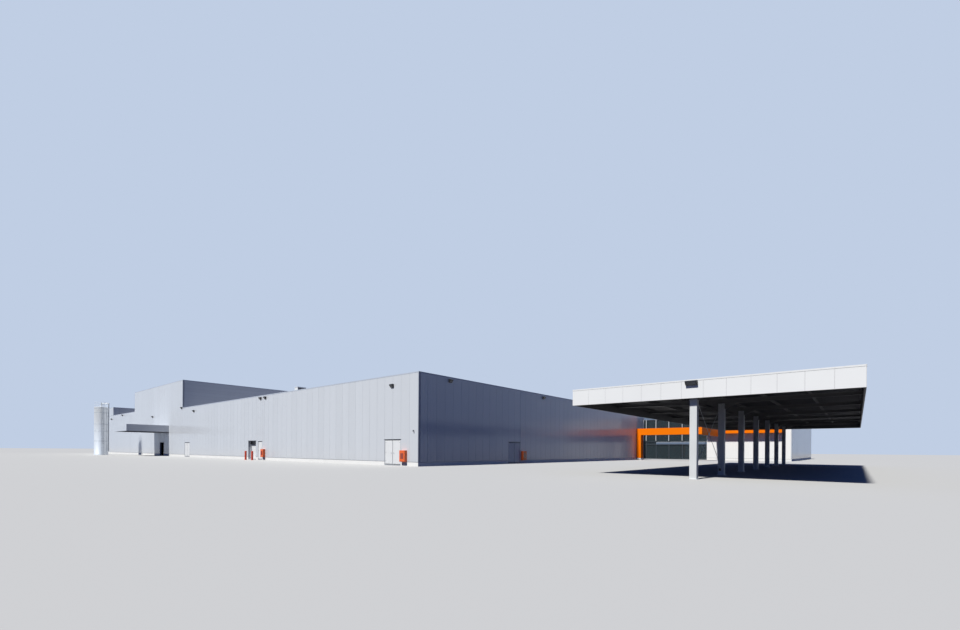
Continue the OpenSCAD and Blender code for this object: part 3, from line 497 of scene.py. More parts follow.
# Painted shade: the black that stands for the vent's hollow behind its slats.
VENT_HOLLOW_PAINTED_SHADE = finish("vent_hollow_painted_shade", srgb(30, 30, 32), 0.7, vary=0.05)
STEEL = finish("satin_steel", srgb(188, 190, 193), 0.3, 0.8, vary=0.04, patch=0.02)

# %% [markdown]
# ## Tinted glass
# The entrance is glazed with grey glass. A shader that lets light through shows the dark room
# behind it, and a very slow wave bends its reflections, as in rolled glass.

# %% Glass of the entrance
TINTED_GLASS, t = new_material("tinted_glass")
t.surface({
    "Base Color": (*srgb(96, 112, 120), 1), "Roughness": 0.03, "Transmission Weight": 0.75, "IOR": 1.5,
    "Normal": t.relief(t.noise(t.place(), 4.0, 0.0), 0.1, 3 * MM)})

# %% [markdown]
# ## Give each solid its finish
# The solids keep their meshes and only change their material, so they stay exactly where the
# model puts them. The list goes from the finish to the solids that wear it.

# %% Finishes of the solids
WORN_BY = [
    (CONCRETE, ["floor_slabs"]),
    (PLINTH, ["plinth"]),
    (LINER, ["front_wall", "side_wall", "court_side_wall", "rear_walls", "west_wall", "door_lintels",
             "tower_end_walls", "tower_side_walls", "raised_walls", "dock_canopy"]),
    (MEMBRANE, ["hall_roof", "block_roofs"]),
    (COPING, ["parapet_coping"]),
    (VENT_WHITE, ["roof_vent"]),
    (WHITE_PANEL, ["wing_front_wall"]),
    (ENTRANCE_FRAME_PAINTED_SHADE, ["entrance_frames"]),
    (BAND, ["entrance_band"]),
    (TINTED_GLASS, ["entrance_glazing"]),
    (ORANGE, ["portal_post", "portal_beams"]),
    (COLUMN, ["canopy_columns"]),
    (CANOPY_STEEL_PAINTED_SHADE, ["canopy_rafters", "canopy_purlins"]),
    (ROD, ["canopy_bracing"]),
    (DECK_PAINTED_SHADE, ["canopy_deck"]),
    (FASCIA_INSIDE_PAINTED_SHADE, ["canopy_fascia"]),
    (SILO, ["silo_shell", "silo_ends"]),
    (GALVANISED, ["silo_ladder"]),
    (HOUSING, ["floodlights"]),
    (CAMERA_CASE, ["cctv_camera"]),
    (CABINET, ["cabinets"]),
    (BOLLARD, ["bollards"]),
    (DOOR_FRAME, ["door_jambs", "door_heads"]),
    (DOOR_WHITE, ["goods_door", "corner_door_left_leaf", "corner_door_right_leaf",
                  "service_door_leaf", "far_door_left_leaf", "far_door_right_leaf"]),
    (DOOR_GREY, ["side_door_near_leaf", "side_door_far_leaf"]),
]
for material, node_names in WORN_BY:
    for node_name in node_names:
        node_mesh = nodes[node_name].data
        node_mesh.materials.clear()
        node_mesh.materials.append(material)
print("finished nodes:", sum(len(names) for _, names in WORN_BY), "of", len(nodes))

# %% [markdown]
# ## Reading the solids
# Panels have to follow the walls exactly, also round the doorways. Writing their sizes down again
# would go wrong at the first change, so they are read back from the loaded solids: a merged copy
# falls apart into its separate solids, and each gives its lowest and highest corner.

# %% Boxes of a node's separate solids
MERGE = 1e-5


def solids(node_name):
    """(lowest, highest) corner of each separate solid in a node."""
    work = bmesh.new()
    work.from_mesh(nodes[node_name].data)
    bmesh.ops.remove_doubles(work, verts=work.verts, dist=MERGE)
    reached = set()
    boxes = []
    for start in work.verts:
        if start in reached:
            continue
        reached.add(start)
        group, todo = [], [start]
        while todo:
            vert = todo.pop()
            group.append(vert.co.copy())
            for edge in vert.link_edges:
                far_vert = edge.other_vert(vert)
                if far_vert not in reached:
                    reached.add(far_vert)
                    todo.append(far_vert)
        boxes.append((Vector(map(min, *group)), Vector(map(max, *group))))
    work.free()
    return boxes


print("front wall stretches:", len(solids("front_wall")))

# %% [markdown]
# ## The panel tree
# A long wall holds hundreds of like panels. Modelling one and copying it by hand would be slow, and
# an array can't change the height over a doorway. Geometry Nodes puts one unit panel on each of a
# cloud of points, and each point carries its own width, height and turn. The panel stands a
# little proud of the wall, with sloping side edges, so that real grooves run between the panels.
# Its face can be cut into strips, and every other pair of edges sinks a little, which gives the
# shallow flutes of a rolled sheet.

# %% Start and end of a geometry tree
FLOAT, INT = "NodeSocketFloat", "NodeSocketInt"


def geometry_tree(name, inputs):
    """A geometry tree with a material and named inputs: {name: (socket type, default)}."""
    group = bpy.data.node_groups.new(name, "GeometryNodeTree")
    face = group.interface
    face.new_socket("Geometry", in_out="INPUT", socket_type="NodeSocketGeometry")
    for label, (kind, default) in inputs.items():
        face.new_socket(label, in_out="INPUT", socket_type=kind).default_value = default
    face.new_socket("Material", in_out="INPUT", socket_type="NodeSocketMaterial")
    face.new_socket("Geometry", in_out="OUTPUT", socket_type="NodeSocketGeometry")
    tree = Tree(group)
    return group, tree, tree.add("NodeGroupInput").outputs


def end_tree(tree, given, geometry):
    """Makes the instances real, gives them the material and sends them out."""
    made = tree.add("GeometryNodeRealizeInstances", {0: geometry})
    dressed = tree.add("GeometryNodeSetMaterial", {
        "Geometry": made.outputs[0], "Material": given["Material"]})
    tree.add("NodeGroupOutput", {0: dressed.outputs[0]})
    print(tree.tree.name, "has", len(tree.tree.nodes), "nodes")


def named(tree, attribute):
    """The output that reads a vector attribute of the points."""
    return tree.add("GeometryNodeInputNamedAttribute", {"Name": attribute},
                    data_type="FLOAT_VECTOR").outputs[0]


# %% The unit panel, from x 0 to 1 and z 0 to 1, facing -y
FLUTE_STRIPS = 4
panel_tree, tree, given = geometry_tree("Panels on points", {
    "Proud": (FLOAT, 0.001), "Groove": (FLOAT, 0.02), "Slope": (FLOAT, 0.006),
    "Strips": (INT, 1), "Flute": (FLOAT, 0.0), "Seed": (INT, 7)})
edges_across = tree.math("ADD", given["Strips"], 1.0)
cube = tree.add("GeometryNodeMeshCube", {"Size": (1, 1, 1), "Vertices X": edges_across})
unit = tree.add("GeometryNodeTransform", {"Geometry": cube.outputs[0], "Translation": (0.5, -0.5, 0.5)})
spot = tree.add("ShaderNodeSeparateXYZ", {0: tree.add("GeometryNodeInputPosition").outputs[0]}).outputs
outer = tree.add("FunctionNodeCompare", {0: spot[1], 1: -0.5}, operation="LESS_THAN").outputs[0]
inset = tree.math("ADD", tree.math("MULTIPLY", given["Groove"], 0.5),
                  tree.math("MULTIPLY", outer, given["Slope"]))
pull = tree.math("MULTIPLY", tree.math("SUBTRACT", 0.5, spot[0]), tree.math("MULTIPLY", inset, 2.0))
strip = tree.math("ROUND", tree.math("MULTIPLY", spot[0], given["Strips"]))
sunk = tree.math("GREATER_THAN", tree.math("FLOORED_MODULO", strip, float(FLUTE_STRIPS)), 1.5)
sink = tree.math("MULTIPLY", tree.math("MULTIPLY", sunk, outer), given["Flute"])
shift = tree.add("ShaderNodeCombineXYZ", {0: pull, 1: sink})
unit_panel = tree.add("GeometryNodeSetPosition", {
    "Geometry": unit.outputs[0], "Offset": shift.outputs[0]})
print("unit panel:", FLUTE_STRIPS, "strips to a flute")

# %% The panel on its points
size = tree.add("ShaderNodeSeparateXYZ", {0: named(tree, "size")}).outputs
scale = tree.add("ShaderNodeCombineXYZ", {0: size[0], 1: given["Proud"], 2: size[2]})
row = tree.add("GeometryNodeInstanceOnPoints", {
    "Points": given["Geometry"], "Instance": unit_panel.outputs[0], "Rotation": named(tree, "turn"),
    "Scale": scale.outputs[0]})
draw = tree.add("FunctionNodeRandomValue", {"Seed": given["Seed"]}, data_type="FLOAT")
toned = tree.add("GeometryNodeStoreNamedAttribute",
                 {"Geometry": row.outputs[0], "Name": "tone", "Value": draw.outputs[1]},
                 data_type="FLOAT", domain="INSTANCE")
end_tree(tree, given, toned.outputs[0])

# %% [markdown]
# ## From a tree to a piece
# A modifier's result lasts only as long as the modifier does. Each result is therefore kept as a
# plain mesh, the modifier is taken off, and the piece is told which body it rides on. Its finish
# is the material that the tree sets.

# %% Run a tree and keep the result
def grow(name, mesh, group, values, body="root"):
    """A piece: the tree's result on mesh, with its place in the mesh."""
    piece = add_object(name, mesh)
    modifier = piece.modifiers.new("grow", "NODES")
    modifier.node_group = group
    idents = {item.name: item.identifier for item in group.interface.items_tree
              if item.item_type == "SOCKET" and item.in_out == "INPUT"}
    for label, value in values.items():
        modifier[idents[label]] = value
    graph = bpy.context.evaluated_depsgraph_get()
    plain_mesh = bpy.data.meshes.new_from_object(piece.evaluated_get(graph), depsgraph=graph)
    piece.modifiers.clear()
    piece.data = plain_mesh
    plain_mesh.name = name
    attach(piece, body)
    print(name, len(plain_mesh.polygons), "faces")
    return piece


# %% Points that carry a size and a turn
def points_mesh(name, rows):
    """A cloud of points: each row is (origin, width vector, height vector) of one panel."""
    mesh = bpy.data.meshes.new(name)
    mesh.from_pydata([tuple(origin) for origin, _, _ in rows], [], [])
    size_data = mesh.attributes.new("size", "FLOAT_VECTOR", "POINT").data
    turn_data = mesh.attributes.new("turn", "FLOAT_VECTOR", "POINT").data
    for i, (_, across, up) in enumerate(rows):
        axes = Matrix((across.normalized(), up.cross(across).normalized(), up.normalized()))
        size_data[i].vector = (across.length, 1, up.length)
        turn_data[i].vector = axes.transposed().to_euler()
    return mesh


def lay(name, rows, material, proud=1.0 * MM, groove=0.012, slope=0.004, strips=1, flute=0.0):
    """Lays one panel on each row. Proud is a length, groove and slope are shares of the width."""
    return grow(name, points_mesh(name, rows), panel_tree, {
        "Proud": proud, "Groove": groove, "Slope": slope, "Strips": strips, "Flute": flute,
        "Seed": len(rows), "Material": material})


def lay_plain(name, rows, material, proud, slope=0.0):
    """Lays boards that meet without a groove."""
    return lay(name, rows, material, proud, groove=0.0, slope=slope)


# %% [markdown]
# ## Rows over the face of a box
# Walls, roofs, beams and doors are boxes, and what covers them lies in rows on one face. One
# function cuts a face into a grid and gives each field's corner, width and height. The grid is
# counted from a fixed place, so that joints line up above and below a doorway.

# %% Cutting a length
SLIVER = 0.1 * MM


def stretches(start, end, zero, step):
    """The stretches into which a grid of step, counted from zero, cuts start to end."""
    places = [start]
    if step:
        count = math.ceil((start + SLIVER - zero) / step)
        while zero + count * step < end - SLIVER:
            places.append(zero + count * step)
            count += 1
    places.append(end)
    return list(zip(places, places[1:]))


print("stretches of 3 in a length of 10:", stretches(0, 10, 0, 3))

# %% Cutting a face
AXES = {"-y": ((1, 0, 0), (0, 0, 1)), "+y": ((-1, 0, 0), (0, 0, 1)), "+x": ((0, 1, 0), (0, 0, 1)),
        "-x": ((0, -1, 0), (0, 0, 1)), "+z": ((1, 0, 0), (0, 1, 0)), "-z": ((1, 0, 0), (0, -1, 0))}


def directions(side):
    """The width, height and outward directions of a face."""
    across, up = (Vector(v) for v in AXES[side])
    return across, up, across.cross(up)


def face_rows(low, high, side, across_step=None, up_step=None, zero=CORNER, level=False):
    """Fields over one face of a box, as (origin, width vector, height vector)."""
    across, up, out = directions(side)
    i, j = (max(range(3), key=lambda n, v=v: abs(v[n])) for v in (across, up))
    rows = []
    for a0, a1 in stretches(low[i], high[i], zero[i], across_step):
        for b0, b1 in stretches(low[j], high[j], zero[j], up_step):
            origin = Vector([high[n] if out[n] > 0.5 else low[n] for n in range(3)])
            origin[i] = a0 if across[i] > 0 else a1
            origin[j] = b0 if up[j] > 0 else b1
            wide, tall = across * (a1 - a0), up * (b1 - b0)
            rows.append((origin + wide, tall, -wide) if level else (origin, wide, tall))
    return rows


def longer_in_x(low, high):
    """Whether a box runs along x."""
    return high.x - low.x > high.y - low.y


# %% [markdown]
# ## Panels on the walls
# The front's panels are 1.2 m wide and the side's 1.15 m, counted from the corner, so that the
# joints meet the door frames as on the real walls. Panels stop above the plinth's flashing and
# under the coping's drip edge. The tall block's long sides have panels laid level, because they
# span from column to column there.

# %% Fields of a wall
FRONT_MODULE = 120 * MM
SIDE_MODULE = 115 * MM
LEVEL_MODULE = 60 * MM
LEVEL_LENGTH = 900 * MM
BASE_GAP = 2 * MM
DRIP = 8.5 * MM
COPING_DROP = 8 * MM
TOP_GAP = 0.5 * MM
SAME_HEIGHT = 0.3 * MM
COPINGS_AT = [low.z for low, high in solids("parapet_coping")]


def clad(low, high, side, level=False):
    """Fields over a wall's face, clear of the flashing below and of the coping above."""
    coped = any(abs(high.z - COPING_DROP - z) < SAME_HEIGHT for z in COPINGS_AT)
    low = Vector((low.x, low.y, low.z + BASE_GAP))
    high = Vector((high.x, high.y, high.z - (DRIP if coped else TOP_GAP)))
    if level:
        zero = Vector((CORNER.x, CORNER.y, low.z))
        return face_rows(low, high, side, LEVEL_LENGTH, LEVEL_MODULE, zero, True)
    return face_rows(low, high, side, FRONT_MODULE if side[1] == "y" else SIDE_MODULE)


# %% Cladding a set of walls
FLUTES = 6
FLUTE_SHARE = 0.4


def clad_walls(name, walls, material=SILVER, level=False):
    """Clads the faces in walls, a list of (lowest corner, highest corner, side)."""
    rows = [field for low, high, side in walls for field in clad(low, high, side, level)]
    strips = 1 if level else FLUTES * FLUTE_STRIPS
    return lay(name, rows, material, strips=strips, flute=FLUTE_SHARE)


def faces_of(node_name, side):
    """One face of each solid in a node."""
    return [(low, high, side) for low, high in solids(node_name)]


front_faces = faces_of("front_wall", "-y")
side_faces = faces_of("side_wall", "+x") + faces_of("court_side_wall", "+x")
glass_head = []
for low, high in solids("door_lintels"):
    if low.y > entrance_face - MM:
        glass_head.append((low, high, "-y"))
    elif longer_in_x(low, high):
        front_faces.append((low, high, "-y"))
    else:
        side_faces.append((low, high, "+x"))
clad_walls("front_panels", front_faces)
clad_walls("side_panels", side_faces)
clad_walls("rear_panels", faces_of("rear_walls", "+y"))
clad_walls("west_panels", faces_of("west_wall", "-x"))
clad_walls("wing_front_panels", faces_of("wing_front_wall", "-y"), WHITE_PANEL)
clad_walls("glass_head_panels", glass_head, BAND)

# %% [markdown]
# ## Panels of the tall block, the plant room and the dock canopy
# Their walls are the same panels, only on other faces. A wall that rises out of a roof is clad
# from that roof up, and the dock canopy is boxed in with narrow panels laid level.

# %% The tall block and the plant room
tower_low, tower_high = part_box("tower_end_walls")
tower_middle = (tower_low.x + tower_high.x) / 2
middle = (cad_low + cad_high) / 2
clad_walls("tower_front_panels", [(low, high, "-y" if low.y < middle.y else "+y")
                                  for low, high in solids("tower_end_walls")])
clad_walls("tower_side_panels", [(low, high, "+x" if low.x > tower_middle else "-x")
                                 for low, high in solids("tower_side_walls")], level=True)
plant_low, plant_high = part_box("raised_walls")
left_top = min(high.z for low, high in solids("west_wall"))
plant_base = Vector((plant_low.x, plant_low.y, left_top))
clad_walls("plant_room_panels", [(plant_base, plant_high, "-y"), (plant_base, plant_high, "-x"),
                                 (plant_low, plant_high, "+x"), (plant_low, plant_high, "+y")])

# %% The dock canopy
DOCK_MODULE = 40 * MM
dock_low, dock_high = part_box("dock_canopy")
dock_rows = [field for side in ("-y", "+x", "-x") for field in face_rows(
    dock_low, dock_high, side, LEVEL_LENGTH, DOCK_MODULE, dock_low, True)]
lay("dock_canopy_panels", dock_rows, SILVER)

# %% [markdown]
# ## Corner flashings
# Where two walls meet, a folded sheet covers the cut ends of the panels. It is one L profile from
# plinth to coping, a little prouder than the panels. Such small parts have an outline of their
# own, so they are built vertex by vertex and gathered into one mesh for each kind, which keeps
# the list of pieces short.

# %% Gathering parts into one mesh
SHARP_DEGREES = 35


def profile(work, outline, run):
    """Adds a closed outline of places, extruded along run."""
    near = [work.verts.new(place) for place in outline]
    far = [work.verts.new(vert.co + Vector(run)) for vert in near]
    work.faces.new(near)
    work.faces.new(far[::-1])
    for i in range(len(near)):
        work.faces.new((near[i - 1], near[i], far[i], far[i - 1]))


def keep(work, name, material, body="root", smooth=False):
    """Turns the gathered parts into a piece."""
    bmesh.ops.recalc_face_normals(work, faces=work.faces)
    mesh = bpy.data.meshes.new(name)
    work.to_mesh(mesh)
    work.free()
    if smooth:
        mesh.polygons.foreach_set("use_smooth", [True] * len(mesh.polygons))
        mesh.set_sharp_from_angle(angle=math.radians(SHARP_DEGREES))
    mesh.materials.append(material)
    made = add_object(name, mesh)
    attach(made, body)
    print(name, len(mesh.polygons), "faces")
    return made


# %% Where the corners are
hall_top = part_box("side_wall")[1].z
plinth_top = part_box("plinth")[1].z
rear_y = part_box("rear_walls")[1].y
left_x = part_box("west_wall")[0].x
wing_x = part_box("side_wall")[1].x
CORNERS = [
    (CORNER.x, CORNER.y, 1, -1, plinth_top, hall_top),
    (wing_x, entrance_face, 1, -1, plinth_top, hall_top),
    (wing_x, rear_y, 1, 1, plinth_top, hall_top),
    (left_x, rear_y, -1, 1, plinth_top, left_top),
    (left_x, CORNER.y, -1, -1, plinth_top, plant_high.z),
    (plant_high.x, CORNER.y, 1, -1, left_top, plant_high.z),
    (plant_high.x, plant_high.y, 1, 1, left_top, plant_high.z),
    (left_x, plant_high.y, -1, 1, left_top, plant_high.z),
    (tower_high.x, CORNER.y, 1, -1, hall_top, tower_high.z),
    (tower_high.x, rear_y, 1, 1, hall_top, tower_high.z),
    (tower_low.x, CORNER.y, -1, -1, left_top, tower_high.z),
    (tower_low.x, rear_y, -1, 1, left_top, tower_high.z)]
print("corners:", len(CORNERS))

# %% Folded sheets on the corners
LEG = 7 * MM
PROUD_CORNER = 1.4 * MM
flashings = bmesh.new()
for x, y, out_x, out_y, foot, top in CORNERS:
    far_x, far_y = x + out_x * PROUD_CORNER, y + out_y * PROUD_CORNER
    outline = [(x - out_x * LEG, y), (x - out_x * LEG, far_y), (far_x, far_y),
               (far_x, y - out_y * LEG), (x, y - out_y * LEG), (x, y)]
    profile(flashings, [(a, b, foot + BASE_GAP) for a, b in outline],
            (0, 0, top - foot - BASE_GAP - DRIP))
keep(flashings, "corner_flashings", FLASHING)

# %% [markdown]
# ## Plinth and its flashing
# The plinth is made of precast pieces about 3 m long. Above it a folded strip throws the rain
# off the panels. The strip is painted dark, a painted shadow that, with its own small shadow,
# draws the thin line at the foot of every wall.

# %% Plinth pieces and the drip strip
PLINTH_MODULE = 300 * MM
PLINTH_PROUD = 0.4 * MM
STRIP_DOWN, STRIP_UP = 0.6 * MM, 2 * MM
STRIP_PROUD = 1.3 * MM


def plinth_side(low, high):
    """The side of a wall that looks outwards."""
    if longer_in_x(low, high):
        return "-y" if min(abs(low.y - CORNER.y), abs(low.y - entrance_face)) < MM else "+y"
    return "-x" if abs(low.x - left_x) < MM else "+x"


plinth_rows, strip_rows = [], []
for low, high in solids("plinth"):
    side = plinth_side(low, high)
    plinth_rows += face_rows(low, high, side, PLINTH_MODULE)
    strip_low = Vector((low.x, low.y, high.z - STRIP_DOWN))
    strip_high = Vector((high.x, high.y, high.z + STRIP_UP))
    strip_rows += face_rows(strip_low, strip_high, side, 2 * PLINTH_MODULE)
lay("plinth_pieces", plinth_rows, PLINTH, PLINTH_PROUD, groove=0.006, slope=0.002)
# The drip strips are painted dark, a painted shadow line above the plinth.
lay_plain("drip_strips", strip_rows, PAINTED_SHADE_SHEET, STRIP_PROUD)

# %% [markdown]
# ## Roofs
# The flat roofs are sheets of membrane, welded where they lap. A thin strip for each lap shows the
# lines from above. Each coping is made of 3 m lengths with a cover strap over the butt joint. The
# highest coping has no straps, because it is the top of the whole building and nothing may rise
# over it, and a strap next to a coping's end would stand past the corner, so it is left out.

# %% Laps and straps
LAP_PITCH = 200 * MM
LAP_W = 5 * MM
LAP_H = 0.4 * MM
LAP_SLOPE = 0.1
STRAP_W = 6 * MM
lap_rows, strap_rows = [], []
for low, high in solids("hall_roof") + solids("block_roofs"):
    for _, x in stretches(low.x, high.x, CORNER.x, LAP_PITCH)[:-1]:
        lap_rows += face_rows((x - LAP_W / 2, low.y, low.z), (x + LAP_W / 2, high.y, high.z), "+z")
for low, high in solids("parapet_coping"):
    if high.z > cad_high.z - MM:
        continue
    n = 0 if longer_in_x(low, high) else 1
    for _, joint in stretches(low[n], high[n], CORNER[n], PLINTH_MODULE)[:-1]:
        if min(joint - low[n], high[n] - joint) >= STRAP_W:
            near, far = Vector(low), Vector(high)
            near[n], far[n] = joint - STRAP_W / 2, joint + STRAP_W / 2
            strap_rows += face_rows(near, far, "+z")
lay_plain("roof_laps", lap_rows, SEAM, LAP_H, LAP_SLOPE)
lay_plain("coping_straps", strap_rows, FLASHING, LAP_H, LAP_SLOPE)

# %% [markdown]
# ## Orange portal
# The portal is a steel frame boxed in with coated sheet. The sheet comes in lengths of 3 m with a
# narrow joint between them, on every side of the post and the beams. The post stands on a wider
# foot, so its sheets start above that.

# %% Sheets of the portal
CASSETTE = 300 * MM
CASSETTE_PROUD = 0.7 * MM
POST_FOOT_OUT = 6 * MM
UPRIGHT_SIDES = ("-y", "+y", "+x", "-x")
post_low, post_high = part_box("portal_post")
post_box = (Vector((post_low.x + POST_FOOT_OUT, post_low.y, COLLAR_H)),
            Vector((post_high.x - POST_FOOT_OUT, post_high.y - POST_FOOT_OUT, post_high.z)))
sheet_rows = [field for side in UPRIGHT_SIDES for field in face_rows(*post_box, side, None, CASSETTE)]
for low, high in solids("portal_beams"):
    along_x = longer_in_x(low, high)
    for side in (*UPRIGHT_SIDES, "-z", "+z"):
        flat = side[1] == "z"
        across_step = CASSETTE if along_x or not flat else None
        up_step = CASSETTE if flat and not along_x else None
        sheet_rows += face_rows(low, high, side, across_step, up_step)
lay("portal_sheets", sheet_rows, ORANGE, CASSETTE_PROUD, groove=0.008, slope=0.003)

# %% [markdown]
# ## Canopy fascia
# White composite panels, 1.12 m long, hang under a white cap sheet. A shadow line parts the two,
# and the seams between the panels are fine.

# %% Fascia panels
FRONT_FIELDS = 13
LIP = 2 * MM
FASCIA_LIFT = 0.3 * MM
CAP_H = 8 * MM
CAP_LINE = 1.2 * MM
CAP_PROUD = 1.9 * MM


def round_canopy(low, high, step):
    """Fields on the four sides of the canopy, counted from its own corner."""
    return [field for side in UPRIGHT_SIDES
            for field in face_rows(low, high, side, step, None, face_low)]


face_low = fascia_low + Vector((LIP, LIP, FASCIA_LIFT))
face_high = fascia_high - Vector((LIP, LIP, CAP_H + CAP_LINE))
cap_low = Vector((face_low.x, face_low.y, fascia_high.z - CAP_H))
cap_high = Vector((face_high.x, face_high.y, fascia_high.z - LIP))
FASCIA_MODULE = (face_high.x - face_low.x) / FRONT_FIELDS
lay("fascia_panels", round_canopy(face_low, face_high, FASCIA_MODULE), FASCIA,
    groove=0.0042, slope=0.002)
lay("fascia_cap", round_canopy(cap_low, cap_high, 3 * FASCIA_MODULE), FASCIA, CAP_PROUD,
    groove=0.001, slope=0.0)

# %% [markdown]
# ## Bolts
# Everything in steel is bolted: base plates to their footings, tie rods to gussets, rafters to the
# columns. A bolt is a washer, a six sided nut and a stub of thread. One tree puts the same small
# shape on every point, so more than a hundred bolts cost one model.

# %% The bolt tree
BOLT_PARTS = {"washer": (12, 1.5, 0.3, 0.15), "nut": (6, 1.0, 0.9, 0.75), "thread": (8, 0.5, 0.7, 1.5)}
bolt_tree, tree, given = geometry_tree("Bolts on points", {"Size": (FLOAT, 0.001)})
joined = tree.add("GeometryNodeJoinGeometry")
for sides, radius, depth, out in BOLT_PARTS.values():
    shape = tree.add("GeometryNodeMeshCylinder", {"Vertices": sides, "Radius": radius, "Depth": depth})
    placed = tree.add("GeometryNodeTransform", {
        "Geometry": shape.outputs[0], "Translation": (0, -out, 0), "Rotation": (math.pi / 2, 0, 0)})
    tree.tree.links.new(placed.outputs[0], joined.inputs[0])
bolt_size = tree.add("ShaderNodeCombineXYZ", {i: given["Size"] for i in range(3)})
bolt_row = tree.add("GeometryNodeInstanceOnPoints", {
    "Points": given["Geometry"], "Instance": joined.outputs[0], "Rotation": named(tree, "turn"),
    "Scale": bolt_size.outputs[0]})
end_tree(tree, given, bolt_row.outputs[0])


def bolt(place, side):
    """The row of a bolt at a place, with its nut towards side."""
    return (Vector(place), *directions(side)[:2])


def bolts(name, rows, size, material):
    return grow(name, points_mesh(name, rows), bolt_tree, {"Size": size, "Material": material})


# %% [markdown]
# ## Bolts of the canopy
# Four bolts hold each base plate. Two by two bolts on both sides of the web join each rafter to
# its column's head, and one bolt on both sides of each gusset holds a tie rod.

# %% Feet, rafter joints and gussets
BASE_T = 2 * MM
BASE_INSET = 2.8 * MM
WEB_HALF = 1 * MM
GUSSET = 14 * MM
GUSSET_HALF_T = 0.8 * MM
SPLICE_X = (30 * MM, 44 * MM)
SPLICE_Z = (12 * MM, 24 * MM)
BASE_BOLT = 1.2 * MM
FRAME_BOLT = 1.5 * MM
columns = sorted(solids("canopy_columns"), key=lambda pair: pair[0].y)
base_rows, steel_rows = [], []
for low, high in columns:
    x, y = (low.x + high.x) / 2, (low.y + high.y) / 2
    reach = (high.x - low.x) / 2 - BASE_INSET
    base_rows += [bolt((x + i * reach, y + j * reach, BASE_T), "+z") for i in (-1, 1) for j in (-1, 1)]
    for across in [i * off for i in (-1, 1) for off in SPLICE_X]:
        for above in SPLICE_Z:
            steel_rows.append(bolt((x + across, y - WEB_HALF, high.z + above), "-y"))
            steel_rows.append(bolt((x + across, y + WEB_HALF, high.z + above), "+y"))
bracing_low, bracing_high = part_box("canopy_bracing")
brace_x = (bracing_low.x + bracing_high.x) / 2
for y in (bracing_low.y + GUSSET / 2, bracing_high.y - GUSSET / 2):
    for z in (bracing_low.z + GUSSET / 2, bracing_high.z - GUSSET / 2):
        steel_rows.append(bolt((brace_x + GUSSET_HALF_T, y, z), "+x"))
        steel_rows.append(bolt((brace_x - GUSSET_HALF_T, y, z), "-x"))
bolts("base_bolts", base_rows, BASE_BOLT, STEEL)
bolts("frame_bolts", steel_rows, FRAME_BOLT, CANOPY_STEEL_PAINTED_SHADE)

# %% [markdown]
# ## Heads of the columns and a socket box
# A cap plate a little wider than the column closes each head. The second column carries a small
# socket box near its foot. Both are chamfered plates: a cube whose corners are set one by one, so
# that no scale is left on the object.

# %% Cap plates and the socket box
COLUMN_HALF = 18.5 * MM
CAP_OUT = 3 * MM
CAP_T = 2 * MM
CAP_CLEAR = 0.2 * MM
SOCKET = (Vector((-12, -6, 27)) * MM, Vector((2, 0, 44)) * MM)
SOCKET_LID_IN = (Vector((2, -1, 5)) * MM, Vector((-2, -5, -4)) * MM)


def plate(work, low, high, chamfer=0.0):
    """Adds a box from low to high, with its edges taken off."""
    verts = bmesh.ops.create_cube(work, size=1.0)["verts"]
    for vert in verts:
        vert.co = Vector([low[i] if vert.co[i] < 0 else high[i] for i in range(3)])
    if chamfer:
        edges = list({edge for vert in verts for edge in vert.link_edges})
        bmesh.ops.bevel(work, geom=edges, offset=chamfer, segments=1, affect="EDGES")


caps = bmesh.new()
cap_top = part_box("canopy_rafters")[0].z - CAP_CLEAR
cap_half = COLUMN_HALF + CAP_OUT
for low, high in columns:
    x, y = (low.x + high.x) / 2, (low.y + high.y) / 2
    plate(caps, (x - cap_half, y - cap_half, cap_top - CAP_T), (x + cap_half, y + cap_half, cap_top),
          chamfer=0.4 * MM)
keep(caps, "column_caps", COLUMN)
socket = bmesh.new()
low, high = columns[1]
foot = Vector(((low.x + high.x) / 2, (low.y + high.y) / 2 - COLUMN_HALF, 0))
plate(socket, foot + SOCKET[0], foot + SOCKET[1], chamfer=1.2 * MM)
plate(socket, foot + SOCKET[0] + SOCKET_LID_IN[0], foot + SOCKET[1] + SOCKET_LID_IN[1], chamfer=0.6 * MM)
keep(socket, "column_socket", HOUSING)

# %% [markdown]
# ## Floodlights
# Each lamp is a black cast case whose lower face slopes and holds the glass. Ribs on top shed the
# heat. Glass and ribs are boards like the wall panels, so the panel tree lays them too: a row may
# have any direction, also along a slope.

# %% Glass and ribs
RIBS = 7
RIB_W = 1.2 * MM
RIB_H = 1.4 * MM
RIB_SHARE = 0.78
GLASS_EDGE = 0.12
GLASS_T = 0.6 * MM
CHIN_SHARE, BROW_SHARE = 1 / 3, 2 / 3
glass_rows, rib_rows = [], []
for low, high in solids("floodlights"):
    side = "+x" if min(abs(low.x - CORNER.x), abs(low.x - wing_x)) < MM else "-y"
    across, up, out = directions(side)
    span = high - low
    wide, deep, tall = abs(span.dot(across)), abs(span.dot(out)), span.z
    back = low if side == "+x" else Vector((low.x, high.y, low.z))
    chin = back + out * (deep * CHIN_SHARE)
    slope_up = back + out * deep + up * (tall * BROW_SHARE) - chin
    glass_rows.append((chin + across * wide * GLASS_EDGE + slope_up * GLASS_EDGE,
                       across * wide * (1 - 2 * GLASS_EDGE), slope_up * (1 - 2 * GLASS_EDGE)))
    for i in range(RIBS):
        at = back + across * (wide * (i + 0.5) / RIBS - RIB_W / 2) + up * tall
        rib_rows.append((at + across * RIB_W, out * deep * RIB_SHARE, -across * RIB_W))
lay_plain("lamp_glasses", glass_rows, LAMP_GLASS, GLASS_T, 0.02)
lay_plain("lamp_ribs", rib_rows, HOUSING, RIB_H)

